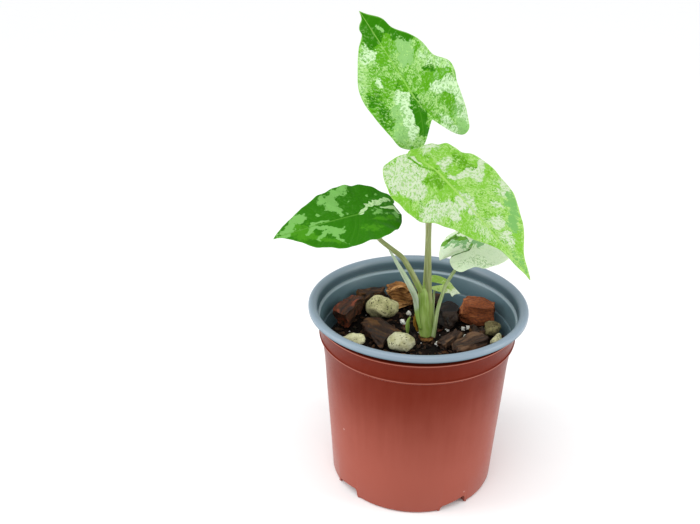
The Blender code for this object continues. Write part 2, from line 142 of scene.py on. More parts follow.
def make_studio():
    world = bpy.data.worlds.new("studio")
    bpy.context.scene.world = world
    world.use_nodes = True
    background = world.node_tree.nodes["Background"]
    background.inputs["Color"].default_value = (0.98, 0.99, 1.0, 1)
    background.inputs["Strength"].default_value = WORLD_POWER
    side_light("left_strip", (-0.7, -0.1, 0.3))
    side_light("right_strip", (0.7, -0.2, 0.3))
    sky_data = bpy.data.lights.new("soft_sky", "SUN")
    sky_data.energy = SKY_POWER
    sky_data.angle = radians(SKY_SPREAD)
    sky = put_in_scene("soft_sky", sky_data)
    sky.rotation_euler = (radians(SKY_TILT[0]), radians(SKY_TILT[1]), 0)
    bpy.context.scene.view_settings.view_transform = "Standard"

    shape = bmesh.new()
    bmesh.ops.create_grid(shape, x_segments=1, y_segments=1, size=4)
    ground = object_from_bmesh(shape, "floor", make_floor_material())
    ground.location.z = mm(-0.05)


# ---------------- materials

class Shader:
    """One material. Its methods add nodes and give an output.

    Three numbers given as a colour are a display colour, 0 to 255.
    """

    def __init__(self, name, roughness, **sockets):
        self.material = bpy.data.materials.new(name)
        self.material.use_nodes = True
        self.nodes = self.material.node_tree.nodes
        self.links = self.material.node_tree.links
        self.surface = self.nodes["Principled BSDF"].inputs
        self.surface["Roughness"].default_value = roughness
        for socket, value in sockets.items():
            self.surface[socket.replace("_", " ")].default_value = value

    def put(self, socket, value):
        if hasattr(value, "is_output"):
            self.links.new(value, socket)
        elif socket.type == "RGBA" and len(value) == 3:
            socket.default_value = colour(*value)
        else:
            socket.default_value = value

    def fill(self, node, *values, **named):
        """Links or sets a node's inputs, in turn or by name, and gives its first output."""
        for socket, value in zip(node.inputs, values):
            self.put(socket, value)
        for name, value in named.items():
            self.put(node.inputs[name], value)
        return node.outputs[0]

    def attribute(self, name):
        node = self.nodes.new("ShaderNodeAttribute")
        node.attribute_name = name
        return node.outputs["Vector"]

    def place(self):
        """The point's own place in metres, the same in every view."""
        return self.nodes.new("ShaderNodeTexCoord").outputs["Object"]

    def parts(self, vector):
        node = self.nodes.new("ShaderNodeSeparateXYZ")
        self.fill(node, vector)
        return node.outputs

    def vector(self, *values):
        return self.fill(self.nodes.new("ShaderNodeCombineXYZ"), *values)

    def math(self, operation, *values):
        node = self.nodes.new("ShaderNodeMath")
        node.operation = operation
        return self.fill(node, *values)

    def total(self, value, *weighted):
        """The value and each further (output, weight) added up."""
        for output, weight in weighted:
            value = self.math("MULTIPLY_ADD", output, weight, value)
        return value

    def noise(self, vector, scale, detail=3.0, roughness=0.55, stretch=None):
        if stretch:
            vector = self.fill(self.nodes.new("ShaderNodeMapping"), vector, Scale=stretch)
        node = self.nodes.new("ShaderNodeTexNoise")
        return self.fill(node, vector, Scale=scale, Detail=detail, Roughness=roughness)

    def cells(self, vector, scale):
        """Distance to the nearest of a scatter of points."""
        return self.fill(self.nodes.new("ShaderNodeTexVoronoi"), vector, Scale=scale)

    def step(self, value, low, high, start=0.0, end=1.0):
        """Eases from start to end as value goes from low to high."""
        node = self.nodes.new("ShaderNodeMapRange")
        node.interpolation_type = "SMOOTHSTEP"
        return self.fill(node, value, low, high, start, end)

    def mix(self, amount, low, high):
        """The colour low where amount is 0, and high where it is 1."""
        node = self.nodes.new("ShaderNodeMix")
        node.data_type = "RGBA"
        colours = [socket for socket in node.inputs if socket.type == "RGBA"]
        for socket, value in zip((node.inputs["Factor"], *colours), (amount, low, high)):
            self.put(socket, value)
        return next(output for output in node.outputs if output.type == "RGBA")

    def paint(self, base, tint, value, low, high, amount=1.0, share=None):
        """Base with up to amount of tint laid over it as value goes from low to high."""
        cover = self.step(value, low, high, 0, amount)
        if share is not None:
            cover = self.math("MULTIPLY", cover, share)
        return self.mix(cover, base, tint)

    def bump(self, height, depth):
        """Relief of this depth in mm where height goes from 0 to 1."""
        node = self.nodes.new("ShaderNodeBump")
        normal = self.fill(node, Strength=1.0, Distance=mm(depth), Height=height)
        self.links.new(normal, self.surface["Normal"])

    def finish(self, base, roughness=None):
        self.put(self.surface["Base Color"], base)
        if roughness is not None:
            self.put(self.surface["Roughness"], roughness)
        return self.material


def make_floor_material():
    shader = Shader("studio_floor", 0.9, Specular_IOR_Level=0.1)
    grain = shader.noise(shader.place(), 40)
    return shader.finish(shader.mix(grain, (0.93, 0.93, 0.93, 1), (0.95, 0.95, 0.95, 1)))


def pot_plastic(name, low, high, turn_height, soft, gloss, sheen, painted_light_rings):
    """Thermoformed sheet: faint draw lines down the wall, satin gloss.

    The colour goes from low to high over soft mm about turn_height, a little unevenly; on the pot
    this is painted shade. The rings given last are (height, reach, colour, amount): painted shade
    where a ring is dark, and a painted highlight where it is pale.
    """
    shader = Shader(name, 0.36, Specular_IOR_Level=gloss, Sheen_Weight=sheen, Sheen_Roughness=0.3)
    place = shader.place()
    height = shader.parts(place)[2]
    draw = shader.noise(place, 260, stretch=(1, 1, 0.08))
    cloud = shader.noise(place, 26)
    scuff = shader.noise(place, 900, 2)
    uneven = shader.total(height, (cloud, mm(0.5 * soft)), (draw, mm(0.3 * soft)))
    base = shader.paint(low, high, uneven, mm(turn_height - 0.6 * soft),
                        mm(turn_height + 1.4 * soft))
    # Each ring is painted shade where its colour is dark, and a painted highlight where it is pale.
    for mark_height, reach, tint, amount in painted_light_rings:
        away = shader.math("ABSOLUTE", shader.math("SUBTRACT", height, mm(mark_height)))
        base = shader.paint(base, tint, away, mm(reach), mm(0.4 * reach), amount)
    base = shader.paint(base, (226, 200, 190), shader.cells(place, 60), 0.045, 0.02, 0.4)
    shader.bump(shader.total(0, (scuff, 0.3), (draw, 0.4)), 0.02)
    return shader.finish(base, shader.step(shader.total(cloud, (scuff, 1)), 0.7, 1.3, 0.3, 0.42))


def soil_material():
    shader = Shader("potting_mix", 0.95, Specular_IOR_Level=0.25)
    place = shader.place()
    fine = shader.noise(place, 1400, 4)
    broad = shader.noise(place, 160)
    base = shader.paint((8, 5, 3), (26, 15, 9), broad, 0.35, 0.65)
    base = shader.paint(base, (68, 42, 26), fine, 0.6, 0.74)
    shader.bump(fine, 0.5)
    return shader.finish(base)


def chip_material(name, dark, middle, light, grain_scale, roughness=0.7, run=0.12):
    """Broken wood: "grain" holds the place across, along and up the fibres, "relief" the height.

    The smaller run is, the longer the fibres run.
    """
    shader = Shader(name, roughness, Specular_IOR_Level=0.45)
    grain = shader.attribute("grain")
    relief = shader.parts(shader.attribute("relief"))[0]
    fibre = shader.noise(grain, grain_scale, 4, 0.6, (1, run, 1))
    broad = shader.noise(grain, 0.16)
    fleck = shader.noise(grain, 2.2, 4, 0.7)
    body = shader.paint(dark, middle, fibre, 0.35, 0.65)
    body = shader.paint(body, light, shader.total(relief, (broad, 0.9)), 0.88, 1.2)
    body = shader.paint(body, dark, fleck, 0.6, 0.75, 0.7)
    shader.bump(shader.total(0, (fleck, 0.4), (fibre, 0.6)), 0.35)
    return shader.finish(body, shader.step(fibre, 0.3, 0.7, roughness - 0.12, roughness + 0.08))


def stone_material(name, body, stain, pit):
    """Foamed stone with dark open pores and stained hollows."""
    shader = Shader(name, 0.9, Specular_IOR_Level=0.3)
    place = shader.place()
    grit = shader.noise(place, 1500)
    cloud = shader.noise(place, 190, 4)
    relief = shader.parts(shader.attribute("relief"))[0]
    rare = shader.step(shader.noise(place, 420, 2), 0.44, 0.56)
    holes = shader.math("MULTIPLY", shader.step(shader.cells(place, 900), 0.4, 0.2), rare)
    base = shader.paint(body, stain, cloud, 0.4, 0.66)
    base = shader.paint(base, stain, relief, 0.42, 0.2, 0.6)
    base = shader.paint(base, stain, grit, 0.56, 0.66, 0.6)
    base = shader.mix(holes, base, pit)
    shader.bump(shader.math("SUBTRACT", grit, holes), 0.5)
    return shader.finish(base)


def stalk_material(name, pale, deep, stripe, foot=None, foot_height=0):
    """Smooth stalk with fine stripes along it. "grain" holds the ring's cosine and sine, and the
    distance from the foot in mm."""
    shader = Shader(name, 0.42, Specular_IOR_Level=0.4, Subsurface_Weight=0.12,
                    Subsurface_Radius=(0.6, 1.0, 0.3), Subsurface_Scale=mm(1.2))
    grain = shader.attribute("grain")
    lines = shader.noise(grain, 2.6, 3, 0.6, (2.4, 2.4, 0.025))
    cloud = shader.noise(grain, 1.1, 2, stretch=(1, 1, 0.08))
    fleck = shader.noise(grain, 1.8, 3, 0.7, (3, 3, 0.5))
    base = shader.paint(pale, deep, cloud, 0.35, 0.65)
    base = shader.paint(base, stripe, lines, 0.5, 0.68, 0.65)
    base = shader.paint(base, deep, fleck, 0.64, 0.76, 0.5)
    if foot:
        uneven = shader.total(shader.parts(grain)[2], (fleck, 9.0))
        base = shader.paint(base, foot, uneven, foot_height + 4.5, foot_height)
    shader.bump(lines, 0.12)
    return shader.finish(base)


def crown_material():
    shader = Shader("crown_skin", 0.7, Specular_IOR_Level=0.3)
    place = shader.place()
    fibres = shader.noise(place, 900, 4, 0.65, (1, 1, 0.15))
    cloud = shader.noise(place, 260)
    height = shader.total(shader.parts(place)[2], (cloud, mm(2.5)))
    base = shader.paint((164, 116, 60), (100, 64, 32), cloud, 0.35, 0.65)
    base = shader.paint(base, (62, 38, 22), fibres, 0.5, 0.64, 0.8)
    base = shader.paint(base, (34, 20, 12), height, mm(SOIL_LEVEL + 3.2), mm(SOIL_LEVEL + 1.6))
    shader.bump(fibres, 0.4)
    return shader.finish(base)


def leaf_material(name, tints, speckle):
    """A variegated blade.

    leaf holds the place along and across the blade in mm and the share of the way to the margin.
    vein holds the distance to the side veins in mm, the distance to the ribs in rib widths, and
    0 above or 1 below. tone holds how much green, deep green and cream there is, and wash how
    much even sage there is and how many flecks.
    """
    shader = Shader(name, 0.4, Specular_IOR_Level=0.07, Subsurface_Weight=0.06,
                    Subsurface_Radius=(0.5, 1.0, 0.2), Subsurface_Scale=mm(0.8))
    along, across, ring = shader.parts(shader.attribute("leaf"))
    vein, rib, below = shader.parts(shader.attribute("vein"))
    green, deep, cream = shader.parts(shader.attribute("tone"))
    sage, flecks, _ = shader.parts(shader.attribute("wash"))

    out = shader.math("ABSOLUTE", across)
    side = shader.math("SIGN", across)
    cells = shader.vector(shader.total(along, (out, -0.4)), shader.math("MULTIPLY", out, 0.9),
                          shader.math("MULTIPLY", side, 30))
    fine = shader.noise(cells, 1.4, 3, 0.65)
    blotch = shader.noise(cells, 0.34, 5, 0.68)
    other = shader.noise(cells, 0.8, 4, 0.7, (1, 1, 2.3))
    fleck = shader.noise(cells, 1.3, 2, 0.7, (1, 1.2, 3.1))

    def spotted(low, high, amount, fine_share, blotch_share, edge):
        """Low with blotches and spots of high, which take up more where amount is larger."""
        value = shader.total(amount, (fine, fine_share), (blotch, blotch_share))
        middle = 0.5 + 0.5 * (fine_share + blotch_share)
        return shader.paint(low, high, value, middle - edge, middle + edge)

    ground = spotted(tints.mint, tints.cream, cream, 0.9, 1.6, 0.2)
    leafy = spotted(tints.green, tints.dark, deep, 0.8, 1.4, 0.15)
    ground = shader.paint(ground, tints.green, other, 0.5, 0.58, 0.55 * speckle, flecks)
    leafy = shader.paint(leafy, tints.mint, other, 0.48, 0.38, 0.6 * speckle, flecks)
    greener = shader.total(green, (shader.step(vein, 0.9, 0.2, 0, 0.22), 1))
    upper = spotted(ground, leafy, greener, 2.2 * speckle, 1.9, 0.1)
    broken = shader.total(sage, (other, 1.6), (fine, 1.2), (blotch, 2.2))
    washed = shader.step(sage, 0.02, 0.2)
    upper = shader.paint(upper, tints.sage, broken, 2.92, 3.08, share=washed)
    rare = 0.64 - 0.02 * speckle
    upper = shader.paint(upper, tints.dark, fleck, rare, rare + 0.03, 0.85, flecks)
    upper = shader.paint(upper, tints.rib, vein, 0.5, 0.1, 0.1)
    upper = shader.paint(upper, tints.rib, rib, 1.0, 0.45, 0.7)
    upper = shader.paint(upper, tints.rib, ring, 0.98, 0.995, 0.5)
    lower = shader.mix(0.6, upper, tints.under)
    lower = shader.paint(lower, tints.rib, vein, 0.7, 0.2, 0.5)
    shader.bump(fine, 0.06)
    return shader.finish(shader.mix(below, upper, lower), shader.total(0.42, (below, 0.2)))


# ---------------- shared modelling steps

def dress(obj, slot, *nodes):
    """Links a finished piece to the frame: it rides the plant and stands for these CAD nodes."""
    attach(obj, "root")
    if nodes:
        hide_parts(*nodes)


def object_from_bmesh(shape, name, *materials):
    mesh = bpy.data.meshes.new(name)
    shape.to_mesh(mesh)
    shape.free()
    for material in materials:
        mesh.materials.append(material)
    return put_in_scene(name, mesh)


def object_from_faces(name, points, faces, material):
    mesh = bpy.data.meshes.new(name)
    mesh.from_pydata(points, [], faces)
    mesh.materials.append(material)
    return put_in_scene(name, mesh)


def band(near, far, turned=False):
    """Four-sided faces between two closed rings of point numbers, turned over if asked."""
    corners = [near, np.roll(near, -1), np.roll(far, -1), far]
    if turned:
        corners[1:] = corners[:0:-1]
    return np.column_stack(corners).tolist()


def fan(ring, middle, turned=False):
    """Triangles that close a ring of point numbers about a middle one."""
    corners = [ring, np.roll(ring, -1), np.full(len(ring), middle)]
    return np.column_stack(corners[::-1] if turned else corners).tolist()


def closed_rings(count, sides, turned=False):
    """Faces over count rings of points in turn, with one more point beyond each of the ends."""
    rings = np.arange(count * sides).reshape(count, sides)
    faces = fan(rings[0], count * sides, not turned)
    faces += fan(rings[-1], count * sides + 1, turned)
    for near, far in zip(rings, rings[1:]):
        faces += band(near, far, turned)
    return faces


def shade(obj, sharp_degrees):
    obj.data.shade_smooth()
    obj.data.set_sharp_from_angle(angle=radians(sharp_degrees))


def store(mesh, name, values):
    """Keeps a vector for each vertex, which materials read by this name."""
    attribute = mesh.attributes.new(name, "FLOAT_VECTOR", "POINT")
    attribute.data.foreach_set("vector", np.asarray(values, np.float32).ravel())


def drift(place):
    """A vector that changes smoothly from place to place, each of its parts from -1 to 1."""
    apart = Vector((19.1, 7.3, 3.7))
    return Vector([noise.noise(place + turn * apart) for turn in (1, 2, 3)])


def rough(place, falling, finer, octaves):
    """Noise about 0 in octaves, each finer than the last by this factor and weaker by falling."""
    return noise.fractal(place, falling, finer, octaves, noise_basis="PERLIN_ORIGINAL")


def smooth_route(knots, steps):
    """Points on a Catmull-Rom curve through the knots, with this many steps between two knots."""
    knots = [Vector(knot) for knot in knots]
    ends = [2 * knots[0] - knots[1], *knots, 2 * knots[-1] - knots[-2]]
    route = []
    for before, start, end, after in zip(ends, ends[1:], ends[2:], ends[3:]):
        for step in range(steps):
            t = step / steps
            route.append(
                0.5 * (2 * start + (end - before) * t
                       + (2 * before - 5 * start + 4 * end - after) * t ** 2
                       + (3 * start - before - 3 * end + after) * t ** 3)
            )
    route.append(knots[-1])
    return route


def sweep(name, knots, material, section=None, sides=28, steps=8):
    """A closed stalk along knots of (x, y, z, radius) in mm, with rounded ends.

    section(share, angle) scales the radius, for a stalk that isn't round.
    """
    route = smooth_route(knots, steps)
    places = [Vector(point[:3]) for point in route]
    radii = [point[3] for point in route]
    across = Vector((1, 0, 0))
    points = []
    grain = []
    travelled = 0.0
    for index, (place, radius) in enumerate(zip(places, radii)):
        ahead = places[min(index + 1, len(places) - 1)]
        behind = places[max(index - 1, 0)]
        tangent = (ahead - behind).normalized()
        across = (across - across.dot(tangent) * tangent).normalized()
        upward = tangent.cross(across)
        travelled += (place - behind).length
        share = index / (len(places) - 1)
        for step in range(sides):
            angle = 2 * pi * step / sides
            reach = radius * (section(share, angle) if section else 1.0)
            point = place + (across * cos(angle) + upward * sin(angle)) * reach
            points.append(mm(*point))
            grain.append((cos(angle), sin(angle), travelled))
    for end, inside, length in ((0, 1, 0.0), (-1, -2, travelled)):
        outward = (places[end] - places[inside]).normalized()
        points.append(mm(*(places[end] + outward * radii[end] * END_BULGE)))
        grain.append((0, 0, length))
    obj = object_from_faces(name, points, closed_rings(len(places), sides), material)
    store(obj.data, "grain", grain)
    shade(obj, 70)
    return obj


# ---------------- the pot

POCKET_AZIMUTHS = (27, 117, 207, 306)    # degrees from the front, toward +X
POCKET_HEIGHT = 5.6
POCKET_INNER_RADIUS = 32.0
NOTCH_AZIMUTHS = (-16, 66, 157, 250)
NOTCH_HEIGHT = 1.2
DRAIN_RADIUS = 3.5
POT_SEGMENTS = 192


def pot_inner_profile():
    """The sheet's inner and upper side, as in the CAD, with the lip rounded more finely."""
    wall = [
        (0, SHEET), (POCKET_INNER_RADIUS, SHEET), (FLOOR_RADIUS - 1.3, SHEET),
        (FLOOR_RADIUS - 0.7, SHEET + 0.1), (FLOOR_RADIUS - 0.2, SHEET + 0.4),
        (FLOOR_RADIUS, SHEET + 0.9), (46.8, 23.8), (48.8, 53.8), (50.1, 76), (51, 84),
        (52.3, 89.4), (52.9, 89.9), (53, 90.3), (52.6, 90.7), (53.4, 99.6), (53.9, 100.3),
        (55, 101), (55.1, 101.5), (54.5, 102), (54.7, 105),
    ]
    lip = [
        (54.9, POT_HEIGHT - 3.4), (LIP_RADIUS - 4.3, POT_HEIGHT - 1.3),
        (LIP_RADIUS - 2.8, POT_HEIGHT - 0.2), (LIP_RADIUS - 1.6, POT_HEIGHT),
        (LIP_RADIUS - 0.5, POT_HEIGHT - 0.6), (LIP_RADIUS, POT_HEIGHT - 1.6),
        (LIP_RADIUS, POT_HEIGHT - 3.1),
    ]
    rounded = [(point.x, point.z) for point in smooth_route([(r, 0, z) for r, z in lip], 4)]
    return wall + rounded


def turned_pot(*materials):
    """The pot's sheet without its thickness: the inner profile turned once about the Z axis."""
    shape = bmesh.new()
    points = [shape.verts.new(mm(radius, 0, height)) for radius, height in pot_inner_profile()]
    for start, end in zip(points, points[1:]):
        shape.edges.new((start, end))
    pot = object_from_bmesh(shape, "pot_shell", *materials)
    screw = pot.modifiers.new("turn", "SCREW")
    screw.steps = POT_SEGMENTS
    screw.render_steps = POT_SEGMENTS
    screw.use_merge_vertices = True
    screw.merge_threshold = 0.00001
    return pot


def radial_prism(name, outline, inner, outer, azimuth, material):
    """A cutter whose outline, in mm across and up, runs outward from radius inner to outer."""
    shape = bmesh.new()
    face = shape.faces.new([shape.verts.new(mm(across, -inner, up)) for across, up in outline])
    grown = bmesh.ops.extrude_face_region(shape, geom=[face])
    moved = [item for item in grown["geom"] if isinstance(item, bmesh.types.BMVert)]
    bmesh.ops.translate(shape, verts=moved, vec=mm(0, inner - outer, 0))
    bmesh.ops.recalc_face_normals(shape, faces=shape.faces)
    obj = object_from_bmesh(shape, f"{name}_{azimuth % 360}", material)
    obj.rotation_euler.z = radians(azimuth)
    return obj


def pocket_outline(margin, bottom):
    """The arch that a raised pocket shows in the wall, grown by margin: steep on one side."""
    top = POCKET_HEIGHT + margin
    return [
        (-8.6 - margin, bottom), (-8.0 - margin, 0.42 * top), (-7.0 - margin, 0.58 * top),
        (5.2 + margin, 0.97 * top), (6.4 + margin, top), (7.2 + margin, 0.9 * top),
        (7.7 + margin, 0.7 * top), (8.2 + margin, bottom),
    ]


def drain_cutter(azimuth, material):
    shape = bmesh.new()
    bmesh.ops.create_cone(shape, cap_ends=True, segments=32, radius1=mm(DRAIN_RADIUS),
                          radius2=mm(DRAIN_RADIUS), depth=mm(6))
    cutter = object_from_bmesh(shape, f"drain_{azimuth}", material)
    angle = radians(azimuth)
    reach = (POCKET_INNER_RADIUS + FLOOR_RADIUS) / 2
    cutter.location = mm(reach * sin(angle), -reach * cos(angle), POCKET_HEIGHT)
    return cutter


def pot_cutters(material):
    """What is added to the pot or cut from it, in turn: pocket roofs, hollows, drains, notches."""
    notch = [(-2.2, -1), (-1.8, 0.3), (-1.2, NOTCH_HEIGHT), (1.4, NOTCH_HEIGHT), (2.8, 0.3),
             (4.2, -1)]
    wall = FLOOR_RADIUS + 0.2
    cuts = []
    for azimuth in POCKET_AZIMUTHS:
        roof = radial_prism("roof", pocket_outline(SHEET, SHEET / 2), POCKET_INNER_RADIUS - SHEET,
                            wall, azimuth, material)
        cuts.append((roof, "UNION"))
    for azimuth in POCKET_AZIMUTHS:
        hollow = radial_prism("hollow", pocket_outline(0, -1), POCKET_INNER_RADIUS, LIP_RADIUS,
                              azimuth, material)
        cuts.append((hollow, "DIFFERENCE"))
        cuts.append((drain_cutter(azimuth, material), "DIFFERENCE"))
    for azimuth in NOTCH_AZIMUTHS:
        cuts.append((radial_prism("notch", notch, wall, LIP_RADIUS, azimuth, material),
                     "DIFFERENCE"))
    return cuts


def make_pot():
    # Painted highlight: the pale lines along the ledges inside the pot.
    ledge_highlight = (154, 172, 182)
    # Painted highlight: the pale lines along the beads outside the pot.
    bead_highlight = (196, 128, 110)
    # Inside, the wall below the lip is the sheet's blue-grey painted darker as shade, with a painted
    # shadow band just under the lip.
    inside = pot_plastic(
        "pot_blue_grey", (95, 121, 132), (130, 147, 160), 106.5, 0.7, 0.4, 0.0,
        [(104.3, 2.4, (76, 98, 110), 0.9), (100.8, 1.1, ledge_highlight, 1.0), (90.3, 0.7, ledge_highlight, 0.6)])
    # Outside, the terracotta is painted darker toward the top as shade under the lip, with a painted
    # shadow in the crease just under the lip.
    outside = pot_plastic(
        "pot_terracotta", (156, 82, 68), (104, 26, 3), 62.0, 42.0, 0.06, 0.12,
        [(104.2, 3.0, (34, 5, 2), 0.85), (101.2, 0.5, bead_highlight, 0.5), (90.0, 0.45, bead_highlight, 0.5)])
    pot = turned_pot(inside, outside)
    sheet = pot.modifiers.new("sheet", "SOLIDIFY")
    sheet.thickness = mm(SHEET)
    sheet.offset = -1
    sheet.use_even_offset = True
    sheet.material_offset = 1
    cuts = pot_cutters(outside)
    for cutter, operation in cuts:
        cut = pot.modifiers.new(cutter.name, "BOOLEAN")
        cut.operation = operation
        cut.solver = "EXACT"
        cut.material_mode = "TRANSFER"
        cut.object = cutter

    bpy.context.view_layer.update()
    solid = pot.evaluated_get(bpy.context.evaluated_depsgraph_get())
    mesh = bpy.data.meshes.new_from_object(solid)
    pot.modifiers.clear()
    pot.data = mesh
    mesh.name = "pot_shell"
    for cutter, _ in cuts:
        bpy.data.objects.remove(cutter, do_unlink=True)
    shade(pot, 32)
    dress(pot, "pot_plastic", "pot")


# ---------------- the potting mix

def soil_height(x, y):
    """The uneven top of the mix, in mm, at a place in mm."""
    place = Vector((x, y, 0))
    clods = rough(place / 9, 0.9, 2.1, 4)
    grit = rough(place / 1.6, 0.8, 2.2, 3)
    edge = (hypot(x, y) / SOIL_RADIUS) ** 6
    return SOIL_LEVEL - 0.7 - 0.9 * edge + 2.0 * clods + 0.7 * grit


def make_potting_mix(material):
    """A closed body of mix with a crumbly top, from above the drainage pockets to its surface."""
    segments = 230
    rings = 62
    foot = POCKET_HEIGHT + SHEET + 2 * GAP
    wall = [(50.0, 76.0), (48.8, 53.8), (46.8, 23.8), (46.0, foot)]
    levels = [((SOIL_RADIUS - GAP) * ring / rings, None) for ring in range(1, rings + 1)]
    levels += [(radius - 2 * GAP, height) for radius, height in wall]
    points = []
    for radius, height in levels:
        for step in range(segments):
            angle = 2 * pi * step / segments
            x, y = radius * cos(angle), radius * sin(angle)
            points.append(mm(x, y, soil_height(x, y) if height is None else height))
    points += [mm(0, 0, soil_height(0, 0)), mm(0, 0, foot)]
    faces = closed_rings(len(levels), segments, True)
    mix = object_from_faces("potting_mix_body", points, faces, material)
    shade(mix, 50)
    dress(mix, "potting_mix", "potting_mix")


def make_crumbs(name, slot, number, sizes, materials, seed):
    """Loose crumbs strewn over the mix, each a small knocked lump."""
    rng = random.Random(seed)
    shape = bmesh.new()
    for _ in range(number):
        reach = CRUMB_REACH * sqrt(rng.random())
        angle = rng.uniform(0, 2 * pi)
        x, y = reach * cos(angle), reach * sin(angle)
        long, wide, tall = (rng.uniform(*size) for size in sizes)
        turn = Matrix.Rotation(rng.uniform(0, 2 * pi), 3, "Z")
        turn = turn @ Matrix.Rotation(rng.gauss(0, 0.35), 3, "X")
        made = bmesh.ops.create_icosphere(shape, subdivisions=1, radius=0.5)
        for vertex in made["verts"]:
            knocked = vertex.co * rng.uniform(0.72, 1.12)
            lump = Vector((knocked.x * long, knocked.y * wide, knocked.z * tall))
            vertex.co = mm(*(turn @ lump + Vector((x, y, soil_height(x, y) + 0.2 * tall))))
        pick = rng.randrange(len(materials))
        for face in {face for vertex in made["verts"] for face in vertex.link_faces}:
            face.material_index = pick
    crumbs = object_from_bmesh(shape, name, *materials)
    shade(crumbs, 35)
    points = [vertex.co * 1000 for vertex in crumbs.data.vertices]
    store(crumbs.data, "grain", points)
    store(crumbs.data, "relief", [(0.5, 0, 0)] * len(points))
    dress(crumbs, slot)


# ---------------- top dressing

def refined(name, cuts, smooth):
    """A closer mesh of a CAD node's shape, for its surface to be roughened."""
    shape = bmesh.new()
    shape.from_mesh(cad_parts[name].data)
    bmesh.ops.remove_doubles(shape, verts=shape.verts, dist=mm(0.01))
    bmesh.ops.subdivide_edges(shape, edges=shape.edges, cuts=cuts, use_grid_fill=True,
                              smooth=smooth)
    bmesh.ops.triangulate(shape, faces=[f for f in shape.faces if len(f.verts) > 3])
    shape.normal_update()
    return shape


def long_axis(shape):
    """The way that a chip's fibres run: its longest extent."""
    points = np.array([vertex.co[:] for vertex in shape.verts])
    return Vector(np.linalg.svd(points - points.mean(axis=0), full_matrices=False)[2][0])


def bark_relief(place):
    """Height in mm of layered, cracked bark at a place across, along and up the fibres."""
    stretched = Vector((place.x, place.y * 0.35, place.z))
    layers = 3.0 * (rough(stretched / 5, 0.9, 2.0, 3) + 1)
    terrace = (floor(layers) + min(1, 3 * (layers % 1))) / 3.0 - 1
    split = 1 - abs(noise.noise(Vector((place.x, place.y * 0.15, place.z)) / 2.2))
    return 0.9 * terrace - 0.55 * split ** 6 + 0.15 * noise.noise(stretched * 1.4)


def husk_relief(place):
    """Height in mm of a bundle of coarse fibres."""
    strands = noise.noise(Vector((place.x * 0.9, place.y * 0.10, place.z * 0.9)))
    threads = noise.noise(Vector((place.x * 2.6, place.y * 0.22, place.z * 2.6)))
    return 1.3 * strands + 0.55 * threads - 0.3


def stone_relief(place):
    """Height in mm of foamed stone: broad facets, grit and open pores."""
    pore = max(0, 1 - noise.voronoi(place / 1.5)[0][0] / 0.4)
    return 0.55 * noise.noise(place / 4.5) + 0.22 * rough(place / 1.1, 0.8, 2.1, 3) - 0.5 * pore


def make_chip(name, slot, material, relief, cuts, smooth, depth, sharp, warp, taper=0.0,
              swell=1.0, drawn=0.0):
    """A piece of top dressing where the CAD has it, bent out of its plain shape and roughened.

    warp is how far it bends, as a share of its length, taper how much its one end narrows, swell
    how much wider it is than its plain shape, and drawn how many mm its front runs out to a point.
    """
    shape = refined(name, cuts, smooth)
    low, high = box_mm(name)
    middle = (low + high) / 2
    along = long_axis(shape)
    across = along.orthogonal().normalized()
    upward = along.cross(across)
    reach = max(abs((vertex.co * 1000 - middle).dot(along)) for vertex in shape.verts)
    offset = Vector((len(name) * 3.7, sum(map(ord, name)) % 50, 0))
    grain = []
    heights = []
    moved = []
    for vertex in shape.verts:
        point = (vertex.co * 1000 - middle) * Vector((swell, swell, 1))
        share = point.dot(along) / reach
        thin = 1 - taper * (0.5 + 0.5 * share)
        point = along * point.dot(along) + thin * (point - along * point.dot(along))
        ahead = max(0, 0.3 - 2 * point.y / (high.y - low.y))
        point = Vector((point.x * (1 - 0.5 * ahead * min(1, drawn)), point.y - drawn * ahead,
                        point.z * (1 - 0.25 * ahead * min(1, drawn))))
        bend = drift(point / reach * 1.1 + offset) * warp * 2 * reach
        bend.z *= 0.7
        place = Vector((point.dot(across), point.dot(along), point.dot(upward))) + offset
        height = relief(place) * depth
        moved.append(middle + point + bend + vertex.normal * (height - 0.25 * depth))
        grain.append(place)
        heights.append((0.5 + 0.4 * height / depth, 0, 0))
    for vertex, point in zip(shape.verts, moved):
        vertex.co = mm(*point)
    chip = object_from_bmesh(shape, f"{name}_rough", material)
    store(chip.data, "grain", grain)
    store(chip.data, "relief", heights)
    shade(chip, sharp)
    dress(chip, slot, name)


def wood_materials():
    return {
        "bark": chip_material("bark", (27, 14, 4), (64, 36, 13), (102, 66, 28), 0.9),
        "wet": chip_material("bark_wet", (7, 4, 2), (20, 12, 6), (46, 29, 15), 0.9),
        "red": chip_material("bark_red", (34, 19, 10), (90, 50, 26), (138, 64, 34), 0.8),
        "dry": chip_material("bark_dry", (34, 20, 12), (72, 47, 30), (114, 83, 58), 1.1),
        "block": chip_material("husk_block", (110, 54, 26), (154, 82, 42), (194, 118, 70), 1.3,
                               0.9, 0.6),
        "fibre": chip_material("husk_fibre", (106, 66, 30), (172, 118, 64), (210, 156, 98), 1.6,
                               0.9),
    }


def make_bark(wood):
    # name: material, warp, taper, swell, drawn
    pieces = {
        "bark_left": ("red", 0.22, 0.3, 1.05),
        "bark_left_rear": ("bark", 0.16, 0.1, 1.35),
        "bark_flat": ("bark", 0.14, 0.1, 1.0, 9),
        "bark_behind_stem": ("wet", 0.15, 0.1, 1.1, 5),
        "bark_strip": ("dry", 0.1, 0.3, 1.1),
        "bark_front_right": ("dry", 0.12, -0.3),
        "bark_bits": ("bark", 0.25, 0.3),
        "bark_front": ("bark", 0.14, 0.4),
        "bark_front_side": ("red", 0.14, 0.3),
        "bark_rear": ("bark", 0.16, 0.2),
    }
    for name, (material, *form) in pieces.items():
        make_chip(name, "bark", wood[material], bark_relief, 5, 0.2, 1.0, 30, *form)


